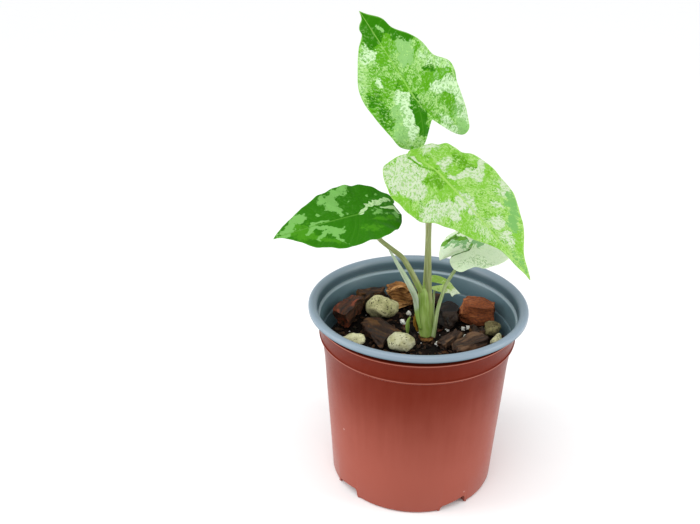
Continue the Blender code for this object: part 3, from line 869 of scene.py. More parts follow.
def make_husk(wood):
    make_chip("husk_right", "husk", wood["block"], bark_relief, 6, 0.1, 0.8, 30, 0.1, swell=1.15)
    make_chip("husk_front", "husk", wood["block"], husk_relief, 5, 0.2, 0.9, 30, 0.14)
    make_chip("husk_rear", "husk", wood["fibre"], husk_relief, 6, 0.2, 1.3, 30, 0.2)


def make_stones():
    grey = stone_material("pumice_grey", (218, 212, 162), (174, 170, 122), (76, 72, 48))
    dull = stone_material("pumice_dull", (150, 140, 98), (112, 100, 66), (60, 52, 34))
    cream = stone_material("pumice_cream", (216, 214, 178), (186, 182, 136), (106, 102, 66))
    # The cream stone painted lighter, as painted light, for the two cream chips, against their shading
    # and the lip's shadow.
    pale = stone_material("pumice_cream_lit", (238, 234, 192), (208, 202, 152), (120, 114, 74))
    perlite = stone_material("perlite", (252, 251, 246), (236, 234, 226), (190, 188, 178))
    for name, stone in (("pumice_grey", grey), ("pumice_grey_right", dull), ("pumice_front", grey)):
        make_chip(name, "pumice_grey", stone, stone_relief, 3, 0.9, 0.8, 60, 0.16)
    make_chip("pumice_white", "pumice_cream", cream, stone_relief, 3, 0.9, 0.6, 60, 0.08)
    for name in ("pumice_cream", "pumice_cream_right"):
        make_chip(name, "pumice_cream", pale, stone_relief, 3, 0.2, 0.6, 40, 0.16, 0.6, 1.2)
    for number in range(1, 9):
        make_chip(f"perlite_{number}", "perlite", perlite, stone_relief, 2, 0.5, 0.7, 50, 0.3)
    return perlite


def make_mix_and_crumbs(wood, perlite):
    soil = soil_material()
    make_potting_mix(soil)
    bark, red, dry = wood["bark"], wood["red"], wood["dry"]
    make_crumbs("soil_crumbs", "potting_mix", 700, ((0.8, 3.0), (0.7, 2.2), (0.6, 1.8)),
                [soil, bark, soil], 3)
    make_crumbs("bark_flakes", "bark", 230, ((2.0, 7.5), (1.2, 3.6), (0.8, 2.4)),
                [bark, red, bark, dry, bark], 8)
    make_crumbs("perlite_grains", "perlite", 26, ((0.6, 1.7), (0.5, 1.1), (0.4, 1.0)),
                [perlite], 21)


# ---------------- leaf blades

# A blade is drawn flat, in mm: s runs from the petiole's end toward the tip, and w to the right.
# left and right are the margin's points, from the notch behind the petiole round to the tip.
# droop, lobe_sag and cup are how far its tip, its lobes and its sides bend off its plane, and lap
# how far its right lobe lies above its left one where they meet.
Blade = namedtuple("Blade", "attachment tip facing droop lobe_sag cup half_width lap left right")

BLADES = {
    "blade_top": Blade(
        attachment=(-5.1, 16, 217.7), tip=(-33.5, 27, 258.4), facing=(0.07, -0.94, 0.33), droop=4,
        lobe_sag=3, cup=3, half_width=24, lap=0.45,
        left=[(-15.4, 1.2), (-19.4, -2.4), (-23.8, -8.2), (-23.6, -13), (-18, -19.5), (-9, -21.4),
              (0, -22.8), (9, -23.7), (16, -23), (22.5, -20.3), (30.5, -14.6), (35.7, -10.4), (38.6, -7),
              (40.4, -5.4), (43, -5.1), (45, -3.6), (46.8, -1.3)],
        right=[(-15.2, 2.2), (-21.7, 5.3), (-28.2, 9), (-31.6, 13), (-29.7, 17.2), (-22.5, 19.4),
               (-13.4, 20.9), (-6.4, 22.2), (0, 24), (6, 24.1), (13, 19.2), (21.9, 17.6), (28, 14.6),
               (35, 9.4), (41.6, 7.4), (47.5, 2.2)],
    ),
    "blade_right": Blade(
        attachment=(6.4, -6, 185.4), tip=(52.4, -34, 138.6), facing=(0.2, -0.74, 0.64), droop=9,
        lobe_sag=3, cup=-3, half_width=26, lap=0.6,
        left=[(-17.6, 3.4), (-17, 0), (-15.2, -4.8), (-13.6, -9), (-8, -15.8), (-1.5, -18.6),
              (5.2, -22.4), (11, -25.3), (19.2, -26.3), (30, -24.9), (39, -21.9), (48, -16.9),
              (54.5, -11), (60, -5.8)],
        right=[(-17.2, 4.6), (-19.6, 11.5), (-20.2, 16.6), (-18.6, 20.2), (-13, 23.8), (-5, 26.4),
               (3, 26.6), (9.2, 25.8), (15, 23.6), (21, 19), (28, 14.5), (39, 9.3), (50.7, 3.4),
               (61, 2)],
    ),
    "blade_left": Blade(
        attachment=(-32.5, -8, 162.9), tip=(-75.4, -26, 156.5), facing=(0.02, -0.38, 0.92), droop=3,
        lobe_sag=2, cup=2.5, half_width=22, lap=0.4,
        left=[(-21.3, 0.9), (-22.3, -2.5), (-20.6, -8), (-17, -13.8), (-9.8, -19.1), (-1, -21.4),
              (8, -22.2), (16.6, -21.9), (24.4, -19), (30.5, -14.4), (36.2, -7), (41.5, -2.2)],
        right=[(-21.1, 3.2), (-22.8, 5.8), (-20.9, 11.5), (-15.3, 16), (-7.4, 19.2), (1, 20.3), (9, 20),
               (16.5, 17.8), (24.6, 14.4), (30.5, 11.6), (36, 8.2), (42.5, 3.4)],
    ),
    "blade_small": Blade(
        attachment=(28.2, 4, 138.7), tip=(50, -1, 138.8), facing=(0.05, -0.45, 0.88), droop=2,
        lobe_sag=1.5, cup=1.5, half_width=15, lap=1.1,
        left=[(-17.4, 5.2), (-18.7, -0.5), (-17.8, -7.4), (-14, -11.4), (-7, -13.6), (1, -14),
              (9, -12.2), (16, -7.4)],
        right=[(-10.4, 4.2), (-11.2, 7.6), (-9.6, 12.4), (-6.8, 16.6), (-3.2, 18.2), (0.4, 16.4),
               (3.4, 14.2), (8.6, 14.5), (13.4, 12), (18.4, 7.4)],
    ),
    "blade_young": Blade(
        attachment=(15.3, 7, 115.1), tip=(23.7, 5, 110.5), facing=(0, -0.7, 0.7), droop=1, lobe_sag=0.5,
        cup=0.6, half_width=5, lap=0.2,
        left=[(-1.5, 0.6), (-4.8, 1.5), (-8.4, 2.1), (-9.4, 0.2), (-8.6, -1.8), (-5.1, -2.9),
              (0.7, -2.9), (4.8, -1.4)],
        right=[(-1.3, 0.9), (-3.8, 2.9), (-5.6, 4.6), (-4.6, 6.2), (-1.5, 5.8), (1.8, 4.8), (4.6, 3.2),
               (6.6, 4.2), (7.4, 2.2)],
    ),
}

# A blade's mesh has this many rings about the petiole's end, and steps between two margin points.
# tones is what the whole blade has of TONE_NAMES, to which its patches add, and tints its colours.
Look = namedtuple("Look", "slot rings steps speckle tones tints")
Tints = namedtuple("Tints", "cream mint green dark sage rib under")

TONE_NAMES = ("green", "deep", "cream", "sage", "flecks")

LOOKS = {
    "blade_top": Look("leaf_cream_green", 56, 9, 1.15, (0.5, 0.1, 0.35, 0, 1), Tints(
        (201, 230, 184), (163, 208, 124), (88, 160, 24), (46, 120, 0),
        (138, 190, 110), (146, 200, 88), (176, 206, 142))),
    "blade_right": Look("leaf_lime", 62, 10, 1.5, (0.42, 0.3, 0.3, 0, 0.8), Tints(
        (193, 207, 177), (162, 200, 118), (118, 180, 52), (84, 148, 14),
        (114, 170, 91), (160, 202, 101), (172, 200, 134))),
    "blade_left": Look("leaf_dark_green", 56, 10, 0.9, (1.5, 1.1, 0.2, 0, 0.1), Tints(
        (187, 219, 164), (116, 172, 84), (66, 136, 16), (42, 112, 0),
        (115, 174, 86), (92, 154, 50), (140, 180, 110))),
    # blade_small's pale tints are raised as painted light, against the shadow that the blade above casts
    # on it.
    "blade_small": Look("leaf_cream_green", 36, 10, 0.9, (-0.6, 0.3, 1.3, 0, 0.2), Tints(
        (236, 252, 222), (216, 238, 186), (112, 174, 56), (74, 126, 34),
        (146, 196, 134), (226, 246, 200), (206, 222, 186))),
    "blade_young": Look("leaf_lime", 20, 8, 0.8, (0.3, 0, 0.2, 0, 0.5), Tints(
        (222, 234, 204), (190, 212, 136), (150, 184, 84), (120, 160, 52),
        (160, 194, 104), (200, 220, 144), (190, 212, 136))),
}

# A stroke adds amount to a tone, fades out about reach mm from its path, and edge is the width of
# its fading as a share of reach.
Stroke = namedtuple("Stroke", "reach amount edge", defaults=(0.8,))


def patch(*path, **strokes):
    """A patch of colour: its path of (s, w) points and, for each tone, a stroke along it."""
    return path, {tone: Stroke(*values) for tone, values in strokes.items()}


PATCHES = {}
PATCHES["blade_top"] = [
    patch((49, 0.5), (43, 4.5), (37, 7), (33, 9.5), (28.5, 13.5),
          green=(3.2, 2.5, 0.3), deep=(3.2, 2, 0.3), flecks=(3.2, -1, 0.3)),
    patch((46, 0), (36, -1), (31, 2), green=(4.6, 0.8)), patch((46, -1), (36, -2), deep=(4, 1)),
    patch((45, -1), (36, -2), flecks=(4, -0.7)), patch((40.5, 3), (36.5, 4.2), sage=(0.8, 0.8, 0.5)),
    patch((26, 7), (22.5, 10.5), (18, 6.5), sage=(4, 0.8, 0.6), flecks=(3.8, -0.6, 0.3)),
    patch((22, 15.5), (19, 13), (16.5, 8), (16, 6), green=(0.9, 1.05, 0.5)),
    patch((18, 17.5), (12, 16), (5, 23), cream=(5, 0.15)),
    patch((18, 17.5), (12, 14), (5, 23), green=(5, -0.35)),
    patch((8.4, 12.4), (7, 14), green=(1.4, 2, 0.4), deep=(1.8, 1)),
    patch((6.5, 11.5), (1, 6), (1, 2), green=(1.6, 1.1, 0.6)),
    patch((4, 14), (3, 18), (2.5, 21.5),
          green=(2.4, 1.8, 0.5), sage=(2.2, 0.4, 0.5), flecks=(2.4, -0.8, 0.3)),
    patch((-2, 14), (-6, 18), (-11, 20.5), (-23, 19), cream=(4, 0.9), green=(4, -0.55)),
    patch((-9.5, 12.8), (-12.5, 14.6), (-18, 12), green=(2, 0.9, 0.6)),
    patch((-17, 15), (-25, 14), sage=(3.2, 0.6, 0.7)), patch((-29, 13.6), sage=(3.4, 0.9)),
    patch((-3, 5), (-18, 9.5), green=(3.5, -0.1)),
    patch((3.6, -6.6), (1.6, -3.2), cream=(2.4, 1.3, 0.35), green=(2.4, -2, 0.35)),
    patch((-1, -11), (-8, -12), (-14, -15.5), sage=(4.2, 0.75, 0.6), green=(4.5, -0.2)),
    patch((1, -6), (-3, -6.6), (-8, -7.9), (-16, -10.6), cream=(2.3, 1), green=(2.3, -0.7)),
    patch((-3, -6), (-8, -8), (-15, -11), sage=(2.4, -0.6)),
    patch((-0.5, -0.8), (-8, -2.6), green=(1.9, 3, 0.3)),
    patch((-10.8, -2.2), (-17.5, -3.8), green=(2.8, 3, 0.25)),
    patch((-1, -0.8), (-8, -3), (-17, -4.5), deep=(3.4, 2, 0.3)),
    patch((-8, -3), (-17, -4.5), flecks=(3.2, -1, 0.3)),
    patch((-19, 6), (-22, 7), (-27, 9), green=(2.2, -0.5)), patch((-19, 6), (-27, 9), cream=(2.2, 0.5)),
    patch((-19.5, -12.5), (-22, -9), green=(3, -0.35)), patch((27, -4), (24, -2), green=(2.2, 0.9, 0.5)),
    patch((10, -19.5), (4, -19), (-4, -18), green=(4.8, 0.5)),
    patch((10, -19), (4, -17.5), (-4, -18), deep=(4.8, 0.5)),
    patch((13, -8), (9.5, -5.5), (8, -1), green=(2.6, 0.8)), patch((9, -4), deep=(3, 0.5)),
    patch((31, -7.5), (28, -9), green=(3.2, -0.4)), patch((30, -8), cream=(4, 0.7)),
    patch((14.6, -10.4), green=(1.5, -1), cream=(1.6, 1.2)),
    patch((30, -13.5), (24, -18.5), (18, -21.5), (12, -23), green=(2.2, -0.45)),
]
PATCHES["blade_right"] = [
    # Painted shadow: a thin dark line beside the seam, where one lobe lies over the other.
    patch((-15, 5.8), (-8, 4.8), (-1, 1.3), green=(0.5, 2, 0.6), deep=(0.4, 2, 0.6)),
    patch((-16.5, 2), (-9, 0.8), (0, -0.2), green=(1.8, 0.95, 0.4)),
    patch((-14, 4.6), (-7, 3.8), green=(1.1, -0.7, 0.5)),
    patch((1.5, 8.5), (0.5, 1), (7, 5), (13, 8), green=(2.6, 0.7, 0.5)),
    patch((4, 1), (14, 1), green=(3.2, 0.55, 0.5)), patch((2, 7), (2, 3), (6, 4), deep=(2.4, 0.4)),
    patch((1, -13), (5, -13), (9, -15), deep=(2.8, 0.4)),
    patch((-14, 9), (-15, 17), (-7, 19), (0, 16), (-7, 11), cream=(5, 1), green=(5, -0.5)),
    patch((-9, 25), (-3, 25.5), (4, 26), (11, 24.5), green=(2.8, 0.55)),
    patch((-19.5, 11), (-20, 17), green=(1.8, 0.4)),
    patch((15, 18), (16, 12), (20, 8), cream=(5, 0.8), green=(5, -0.4)),
    patch((17.5, 0), (20, 4), (24, 10), green=(2.4, -0.9, 0.4), cream=(2.4, 1.2, 0.4)),
    patch((22, -1), (26, 0), green=(2, -0.7), cream=(2.4, 1)),
    patch((27, 2.5), (30, 7), (34, 8), green=(3.6, 0.25)),
    patch((-2, -2.5), (-1, -9), green=(2.2, -0.6)), patch((-1, -6), cream=(4, 0.8)),
    patch((-15, -4), (-12, -10), green=(2.6, -0.55)), patch((-14, -7), cream=(5, 0.8)),
    patch((-8, -6), (-8, -12), (-1, -12), green=(3, 0.3)),
    patch((1, -16), (6, -15), (8, -18), green=(2.6, 0.55)), patch((7, -14), (4, -6), green=(2, 0.4)),
    patch((6.5, -3), (9.5, -9), (9.8, -14), green=(1.4, -1, 0.6), cream=(1.8, 1)),
    patch((10.5, -24.5), (12, -20), (15, -14), green=(1.8, -2.5, 0.4), cream=(2.2, 1.4, 0.5)),
    patch((14.5, -24), (18, -20), (19, -14), green=(2.4, 0.35)),
    patch((32, -12), green=(1.8, -0.7), cream=(2.2, 1)), patch((38, -5), (40.5, -7), green=(2, -2)),
    patch((39, -6), cream=(3, 1.2)), patch((46.5, -4.5), (52, -4), green=(1.3, -0.95)),
    patch((49, -4), cream=(4, 0.9)), patch((25, -23.5), (30, -21.5), green=(1.8, -0.6)),
    patch((27, -22), cream=(4, 0.7)), patch((34, -20.5), (40, -17), (46, -12), sage=(3.4, 0.85, 0.7)),
    patch((34, -20.5), (46, -12), flecks=(4, -0.6)),
    patch((50, -11), (53, -7), (58, -4.5), green=(1.8, 0.6)),
    patch((34, 2), (43, 5), green=(4, -0.2), cream=(4, 0.3)), patch((58, -1), (70, 0), sage=(3.5, 0.5)),
    patch((36, 9), (48, 4), green=(2, 0.35)),
]
PATCHES["blade_left"] = [
    patch((0.3, 20.5), (7, 15.5), (11, 11), (10, 5), sage=(2.5, 1, 0.7)),
    patch((16, 15), (12.5, 12), sage=(2.2, 0.9)), patch((3, 9.4), sage=(0.7, 0.9)),
    patch((15, 9), (11, 7), sage=(1.6, 0.8)), patch((6, 2.3), sage=(0.8, 0.9)),
    patch((20, 6), sage=(1.3, 0.8)), patch((8, 12), flecks=(9, 0.3)),
    patch((46.8, -2), (40, 0.8), (35, 5), (29.7, 8.2), sage=(2.3, 1, 0.7)),
    patch((30, -4.4), (26.4, -1.5), sage=(1.1, 1)),
    patch((26, 1.7), (21, 1.2), (17, 0.9), sage=(0.5, 0.9)),
    patch((25, -1), (21, -2.5), (17.5, -7), sage=(1.9, 1, 0.7)),
    patch((22, -6.5), (26.5, -10.6), sage=(1.3, 1)), patch((19, -7.3), (14, -8.6), sage=(2, 1, 0.7)),
    patch((17, -9), (17.6, -13.6), (16.4, -16.5), sage=(1.2, 1, 0.7)),
    patch((16.4, -16.5), (14.8, -19.5), sage=(0.5, 0.9)), patch((33, -0.1), sage=(0.5, 0.9)),
    patch((37, -6.7), sage=(0.6, 0.8)),
    patch((-7, 4.8), (-12, 5.2), green=(2, -2.4), cream=(2.5, 1.1, 0.4)),
    patch((-12, 5.2), (-19, 6), green=(1.2, -2.4), cream=(1.5, 1.1, 0.4)),
    patch((-7, 4.6), (-19, 5.6), flecks=(2.8, 0.8)),
    patch((-5, 3), (0, 0.2), green=(0.8, -4, 0.6), cream=(1, 1.2, 0.5)),
    patch((-9, 10.6), sage=(0.7, 0.9)), patch((-14, 11.4), sage=(1.2, 0.9, 0.6)),
    patch((-8, -0.6), (-14, -2.4), sage=(1.8, 0.5)),
    patch((-13, 1.6), (-20, 0.4), (-21, -4), green=(0.5, -4, 0.6), cream=(0.7, 1.2, 0.6)),
    patch((-18.5, -3), (-19, -7), sage=(1.2, 0.9, 0.7)), patch((2, -11), (-4, -13), deep=(3.6, -0.7)),
    patch((30, 0), (38, 2), deep=(4, -0.7)), patch((33, -4), (27, -9), (18, -17), deep=(3.4, -0.8)),
    patch((-8, -6), (-16, -8), deep=(2.6, -0.8)), patch((34, 3), (28, 6), green=(3, -0.6)),
]
PATCHES["blade_small"] = [
    patch((-16.5, -6), (-13.2, -8.4), (-10.5, -8.4), (-7, -7), green=(2.2, 2.2)),
    patch((-14, -7.6), (-9.5, -7.6), deep=(1.2, 0.5, 0.9)),
    patch((-15, -3), (-11, -4.4), (-5.4, -3), (-3.7, 0.4), sage=(1.7, 0.9, 0.9)),
    patch((-17, -5.5), (-15, -8), green=(1.2, 1)),
    patch((0.8, -4.5), (3.6, -3.3), (2.6, -1), sage=(2, 0.9)),
    patch((-5.5, -7.5), (-2, -3.5), green=(0.6, 1.1, 0.9)),
    # Painted shadow: the thin dark line beside the seam, where one lobe lies over the other.
    patch((-10.6, 5.2), (-7.6, 3.7), (-2.3, 2.4), (-0.5, 0.6), (-0.2, -4), green=(0.45, 4, 0.5)),
    patch((-10.6, 5.2), (-7.6, 3.7), (-2.3, 2.4), (-0.5, 0.6), deep=(0.5, 4, 0.4)),
    patch((2, 6.4), (6, 6.9), (7.4, 8.8), flecks=(1.8, 0.8)),
    patch((-5.3, 11.7), (3, 11.7), (9, 12.4), flecks=(1.8, 0.8)),
    patch((-2.6, 9.6), (1.3, 10.3), (13.7, 10.7), flecks=(1.2, 0.8)),
]
PATCHES["blade_young"] = [
    patch((-7, 0), (-2, -1.5), green=(2, 0.8)), patch((2, 3), green=(2, 0.5)),
    patch((8, 1), (6, 4), green=(2, -1.5), cream=(2, 1.2)),
]

VEIN_PAIRS = 7
LOBE_VEIN_AZIMUTHS = (68, 88, 104, 118)    # degrees from the blade's own direction

LeafFrame = namedtuple("LeafFrame", "attachment along across normal length")
Gaps = namedtuple("Gaps", "vein rib seam rib_width")


def leaf_frame(blade):
    """The blade's own axes: toward its tip, to its right, and out of its upper face."""
    attachment = Vector(blade.attachment)
    reach = Vector(blade.tip) - attachment
    chord = reach.normalized()
    facing = Vector(blade.facing)
    facing = (facing - facing.dot(chord) * chord).normalized()
    length = sqrt(reach.length ** 2 - blade.droop ** 2)
    lift = atan2(blade.droop, length)
    along = chord * cos(lift) + facing * sin(lift)
    normal = facing * cos(lift) - chord * sin(lift)
    return LeafFrame(attachment, along, along.cross(normal), normal, length)


def margin(blade, length, steps):
    """Points along the margin, from the notch's left end round the tip to its right end."""
    tip = (length, 0.0, 0.0)
    left, right = (
        smooth_route([(s, w, 0.0) for s, w in points] + [tip], steps)
        for points in (blade.left, blade.right)
    )
    return np.array([point[:2] for point in left + right[-2::-1]])


def side_veins(blade, length):
    """Routes of the side veins in mm: pairs that leave the midrib, and fans off the lobe ribs."""
    spacing = length / (VEIN_PAIRS + 0.5)
    w = blade.half_width * 1.3 * np.linspace(0, 1, 9)
    veins = []
    for number in range(1, VEIN_PAIRS + 1):
        start = spacing * (number - 0.55)
        for side in (-1, 1):
            s = start + 0.12 * spacing * side + 0.42 * w + 0.010 * w ** 2
            veins.append(np.column_stack([s, side * w]))
    for side in (-1, 1):
        rib = lobe_rib(blade, side)
        for number, azimuth in enumerate(LOBE_VEIN_AZIMUTHS):
            root = rib[2 * number + 1] if number else rib[0]
            turn = radians(azimuth)
            s = root[0] + cos(turn) * w + 0.006 * w ** 2
            veins.append(np.column_stack([s, root[1] + side * sin(turn) * w]))
    return veins


def lobe_rib(blade, side):
    """The rib that runs from the petiole's end back into one lobe."""
    points = blade.right if side > 0 else blade.left
    lobe = min(points, key=lambda point: point[0])
    share = np.linspace(0, 1, 10)
    bow = 0.12 * abs(lobe[0]) * np.sin(pi * share)
    return np.column_stack([0.92 * lobe[0] * share, 0.9 * lobe[1] * share - side * bow * 0.5])


def distance_to(routes, places):
    """Distance from each place to the nearest of these routes, in mm."""
    nearest = np.full(len(places), 1e6)
    for route in routes:
        for start, end in zip(route, route[1:]):
            leg = end - start
            share = np.clip((places - start) @ leg / max(leg @ leg, 1e-9), 0, 1)
            gap = np.linalg.norm(places - start - share[:, None] * leg, axis=1)
            nearest = np.minimum(nearest, gap)
    return nearest


def ease(values):
    """Smooth steps from 0 to 1."""
    values = np.clip(values, 0, 1)
    return values * values * (3 - 2 * values)


def blade_tones(name, places):
    """How much of each tone in TONE_NAMES the blade has at each place."""
    tones = np.tile(np.array(LOOKS[name].tones), (len(places), 1))
    raggedness = ragged_edges(places)
    for path, strokes in PATCHES[name]:
        route = np.array(path if len(path) > 1 else path * 2, float)
        for tone, stroke in strokes.items():
            uneven = places + raggedness * min(1, stroke.reach / 2, 2 * stroke.edge)
            far = distance_to([route], uneven) / stroke.reach
            share = ease(0.5 + (1 - far) / (2 * stroke.edge))
            tones[:, TONE_NAMES.index(tone)] += stroke.amount * share
    tones[:, 3:] = np.clip(tones[:, 3:], 0, 1.2)
    return tones


def ragged_edges(places):
    """How far each place is pushed, here and there, so that no patch ends in a clean curve."""
    pushes = np.zeros_like(places)
    for size, reach in ((5.0, 2.6), (1.8, 1.6)):
        for index, (s, w) in enumerate(places):
            push = drift(Vector((s / size, w / size, size)))
            pushes[index] += (reach * push.x, reach * push.y)
    return pushes


def notch_middle(blade):
    return (np.array(blade.left[0]) + np.array(blade.right[0])) / 2


def blade_gaps(blade, length, places):
    """How far each place is from the veins, the midrib and the seam, and the midrib's width."""
    veins = side_veins(blade, length) + [lobe_rib(blade, -1), lobe_rib(blade, 1)]
    near_foot = np.clip(1 - np.hypot(*places.T) / length, 0, 1)
    return Gaps(
        vein=distance_to(veins, places),
        rib=distance_to([np.array([[0, 0], [length, 0]])], places),
        seam=distance_to([np.array([[0, 0], notch_middle(blade)])], places),
        rib_width=length / FULL_LENGTH * (0.22 + 0.38 * near_foot),
    )


def blade_height(blade, length, places, ring, gaps):
    """How high the blade's sheet lies, with its droop, cup, puffed fields, waves and lap."""
    s, w = places.T
    scale = length / FULL_LENGTH
    body = (
        -blade.droop * (np.maximum(s, 0) / length) ** 2
        - blade.lobe_sag * (np.maximum(-s, 0) / (0.4 * length)) ** 2
        + blade.cup * (w / blade.half_width) ** 2
    )
    puffed = ease(np.minimum(gaps.vein, gaps.rib) / (3.2 * scale))
    around = np.arctan2(w, s)
    wave = ring ** 3 * (0.5 * np.sin(9 * around + 1) + 0.35 * np.sin(17 * around))
    notch = notch_middle(blade)
    seam_side = np.sign(notch[0] * w - notch[1] * s)
    near_seam = ease(1 - gaps.seam / (0.12 * length)) * ease(-s / (0.1 * length))
    lap = 0.5 * blade.lap * seam_side * near_seam
    return body + lap + scale * (0.4 * puffed * (1 - 0.5 * ring) + wave)


def in_space(axes, places, heights):
    """Places on a blade, this high over its plane, as points in metres."""
    s, w = places.T
    flat = np.outer(s, axes.along) + np.outer(w, axes.across) + np.outer(heights, axes.normal)
    return (flat + np.array(axes.attachment)) * 0.001


def blade_faces(rings, count):
    """Faces of a blade whose points are a middle one and then rings, above and then below."""
    total = 1 + rings * count
    numbers = np.arange(1, total).reshape(rings, count)
    faces = fan(numbers[0], 0, True) + fan(numbers[0] + total, total)
    for near, far in zip(numbers, numbers[1:]):
        faces += band(near, far) + band(near + total, far + total, True)
    return faces + band(numbers[-1], numbers[-1] + total)


def store_leaf_looks(mesh, name, places, ring, gaps, scale):
    """Keeps what leaf_material reads, first for the upper side's points and then the lower's."""
    both = (2, 1)
    tones = blade_tones(name, places)
    rib_share = np.minimum(gaps.rib / gaps.rib_width, 0.2 + gaps.seam / (0.45 * scale))
    veins = np.tile(np.column_stack([gaps.vein / scale, rib_share]), both)
    below = np.repeat([0.0, 1.0], len(places))
    washes = np.column_stack([tones[:, 3:], np.zeros(len(places))])
    store(mesh, "leaf", np.tile(np.column_stack([places, ring]), both))
    store(mesh, "vein", np.column_stack([veins, below]))
    store(mesh, "tone", np.tile(tones[:, :3], both))
    store(mesh, "wash", np.tile(washes, both))


def make_blade(name, look):
    """A closed blade: rings of points about the petiole's end, above and below."""
    blade = BLADES[name]
    axes = leaf_frame(blade)
    scale = axes.length / FULL_LENGTH
    edge = margin(blade, axes.length, look.steps)
    shares = np.linspace(0, 1, look.rings + 1)[1:]
    places = np.vstack([[[0.0, 0.0]], *(edge * share for share in shares)])
    ring = np.concatenate([[0.0], np.repeat(shares, len(edge))])
    gaps = blade_gaps(blade, axes.length, places)

    height = blade_height(blade, axes.length, places, ring, gaps)
    furrow = scale * 0.3 * ease(1 - gaps.rib / (2.2 * gaps.rib_width))
    keel = scale * 0.7 * ease(1 - gaps.rib / (2.5 * gaps.rib_width))
    half = BLADE_THICKNESS * (1 - 0.55 * ring ** 6) / 2
    points = np.vstack([in_space(axes, places, height - furrow + half),
                        in_space(axes, places, height - keel - half)])
    material = leaf_material(name.replace("blade", "leaf"), look.tints, look.speckle)
    leaf = object_from_faces(f"{name}_leaf", points.tolist(), blade_faces(look.rings, len(edge)),
                             material)

    store_leaf_looks(leaf.data, name, places, ring, gaps, scale)
    leaf.data.shade_smooth()
    dress(leaf, look.slot, name)


# ---------------- stem, petioles and sheaths

# Knots are (x, y, z, radius) in mm. Petioles start inside the stem, which wraps their feet.
PETIOLES = {
    "petiole_top": [
        (4.2, 1.4, 104, 1.6), (4, 2, 114.3, 1.55), (4.3, 2.8, 134, 1.45), (3.9, 4.2, 154, 1.4),
        (1.3, 7.6, 171, 1.3), (-1.5, 11.6, 183, 1.2), (-3.4, 16, 194, 1.1), (-4.9, 18.9, 206, 1),
    ],
    "petiole_right": [
        (6.6, -1.6, 93, 2), (6.4, -1.9, 103, 2.1), (5.6, -1.5, 114.3, 1.8), (4.6, -1.2, 134, 1.6),
        (4, -0.9, 150, 1.5), (4.4, 0.4, 165, 1.4), (5.4, -0.2, 176, 1.25),
    ],
    "petiole_left": [
        (2.4, -1.2, 106, 1.9), (1.9, -1, 113.5, 1.8), (-1.9, -1.6, 122, 1.65), (-5.2, -2.4, 128.8, 1.5),
        (-9.4, -3.2, 136, 1.4), (-16.1, -4.4, 142.2, 1.3), (-22.6, -5.8, 148.6, 1.2),
    ],
    "petiole_small": [
        (9.2, -3.4, 88, 1.2), (9.9, -3.6, 96, 1.1), (11, -2.4, 105, 1.05), (13, -0.6, 112, 1),
        (15.2, 1.4, 118, 0.95), (20, 3.2, 126, 0.9),
    ],
    "petiole_young": [
        (9.4, 2.6, 88, 0.85), (9.3, 3.4, 96, 0.75), (9.1, 4.1, 101, 0.7), (9.3, 5.1, 107, 0.65),
        (10, 6.6, 112, 0.6),
    ],
}


def channelled(share, angle):
    """A petiole's section: round with a shallow channel that fades toward the blade."""
    return 1 - 0.14 * (1 - share) * exp(-((angle - 4.2) / 0.5) ** 2)


def bundled(share, angle):
    """The stem's section: sheaths wrapped over each other leave soft ridges and one lap."""
    ridges = 0.035 * sin(3 * angle + 1.0) + 0.02 * sin(7 * angle + 5 * share)
    lap = 0.07 * exp(-((angle - 3.9) / 0.16) ** 2)
    return 1 + ridges + lap


def ragged(share, angle):
    """The section of a withered sheath: torn along its length."""
    return 1 + 0.22 * sin(5 * angle + 6 * share) + 0.12 * sin(11 * angle - 17 * share)


def make_stem():
    green = stalk_material("stem_green", (166, 194, 104), (138, 170, 72), (190, 210, 142),
                           (166, 128, 66), 1.0)
    knots = [
        (5.6, 0, STEM_FOOT - 1, 4.2), (5.5, 0, 91, 4.4), (4.8, 0, 96, 4.5), (4.2, 0, 102, 4.4),
        (3.8, 0, 108, 4.1), (3.6, 0, STEM_TOP - 0.5, 3.6), (3.6, 0.1, STEM_TOP + 2.5, 2.6),
    ]
    dress(sweep("stem_bundle", knots, green, bundled, 64), "stem", "stem")


def make_petioles():
    olive = stalk_material("petiole_olive", (168, 176, 116), (140, 150, 86), (192, 198, 154),
                           (150, 172, 90), 18.0)
    pale = stalk_material("petiole_pale", (184, 200, 144), (150, 172, 104), (206, 218, 176))
    for name, knots in PETIOLES.items():
        axes = leaf_frame(BLADES[name.replace("petiole", "blade")])
        end = axes.attachment - axes.normal * 0.9
        material = pale if name in ("petiole_small", "petiole_young") else olive
        stalk = sweep(f"{name}_stalk", [*knots, (*end, knots[-1][3] * 0.9)], material, channelled)
        dress(stalk, "petiole", name)


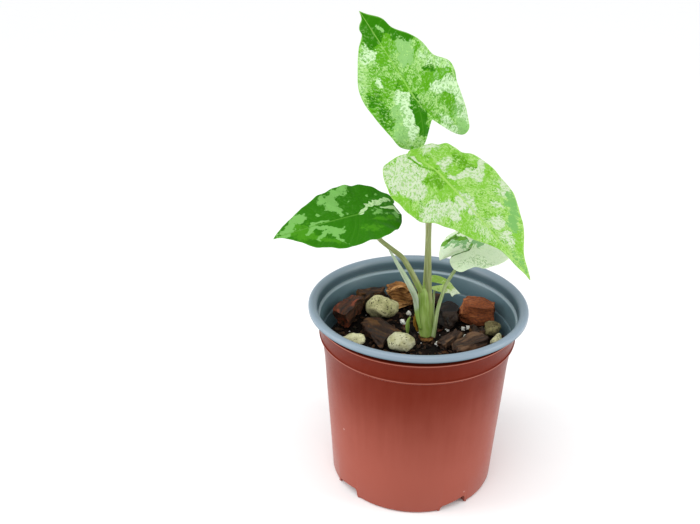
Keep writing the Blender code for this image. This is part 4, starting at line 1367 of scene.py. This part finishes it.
def make_sheaths():
    wing = stalk_material("sheath_pale", (198, 212, 186), (176, 196, 156), (218, 228, 208),
                          (152, 184, 90), 15.0)
    dry = stalk_material("sheath_dry", (168, 118, 36), (96, 62, 20), (190, 160, 60))
    wing_knots = [
        (1.9, -3.4, 93, 0.9), (0.6, -3.4, 98, 1.1), (-0.4, -3.1, 103, 1.25),
        (-1.1, -3.2, 108, 1.4), (-1.9, -3.7, 113, 1.6), (-4.6, -5.1, 119.5, 1.6),
        (-8.2, -5.6, 126.5, 1.4), (-12.2, -5.4, 133.6, 1), (-16.6, -5.2, 141.4, 0.5),
    ]
    dress(sweep("sheath_wing_leafy", wing_knots, wing, steps=6), "sheath_pale", "sheath_wing")
    old_knots = [(0.9, 1.6, 88.6, 0.7), (-0.5, 1.6, 94, 1.15), (-0.9, 1.5, 99.5, 0.4)]
    dress(sweep("old_sheath_dry", old_knots, dry, ragged), "sheath_dry", "old_sheath")
    shoot_knots = [
        (-4.2, 7, SOIL_LEVEL - 0.5, 0.5), (-4.5, 7, 87.5, 1.2), (-4.3, 6.9, 91.5, 1),
        (-3.3, 6.7, 94.6, 0.4),
    ]
    dress(sweep("offset_shoot_tip", shoot_knots, wing), "sheath_pale", "offset_shoot")


def make_crown():
    """The corm's top: knobbly skin, where the CAD has it, drawn up round the stem."""
    shape = refined("crown", 4, 0.3)
    middle = Vector((5.9, 0, 0))
    for vertex in shape.verts:
        point = vertex.co * 1000
        away = (point - middle) * Vector((1, 1, 0))
        knobs = rough(point / 1.6, 0.8, 2.1, 3)
        height = (point.z - SOIL_LEVEL) / (STEM_FOOT - SOIL_LEVEL)
        spread = 0.8 - 0.08 * height + 0.18 * knobs
        vertex.co = mm(*(middle + away * spread + Vector((0, 0, point.z + 0.35 * knobs))))
    crown = object_from_bmesh(shape, "crown_knob", crown_material())
    shade(crown, 50)
    dress(crown, "crown_skin", "crown")


# ---------------- the whole scene

make_camera()
make_studio()
make_pot()
wood_kinds = wood_materials()
make_bark(wood_kinds)
make_husk(wood_kinds)
perlite_kind = make_stones()
make_mix_and_crumbs(wood_kinds, perlite_kind)
make_stem()
make_petioles()
make_sheaths()
make_crown()
for blade_name, blade_look in LOOKS.items():
    make_blade(blade_name, blade_look)

bpy.context.view_layer.update()
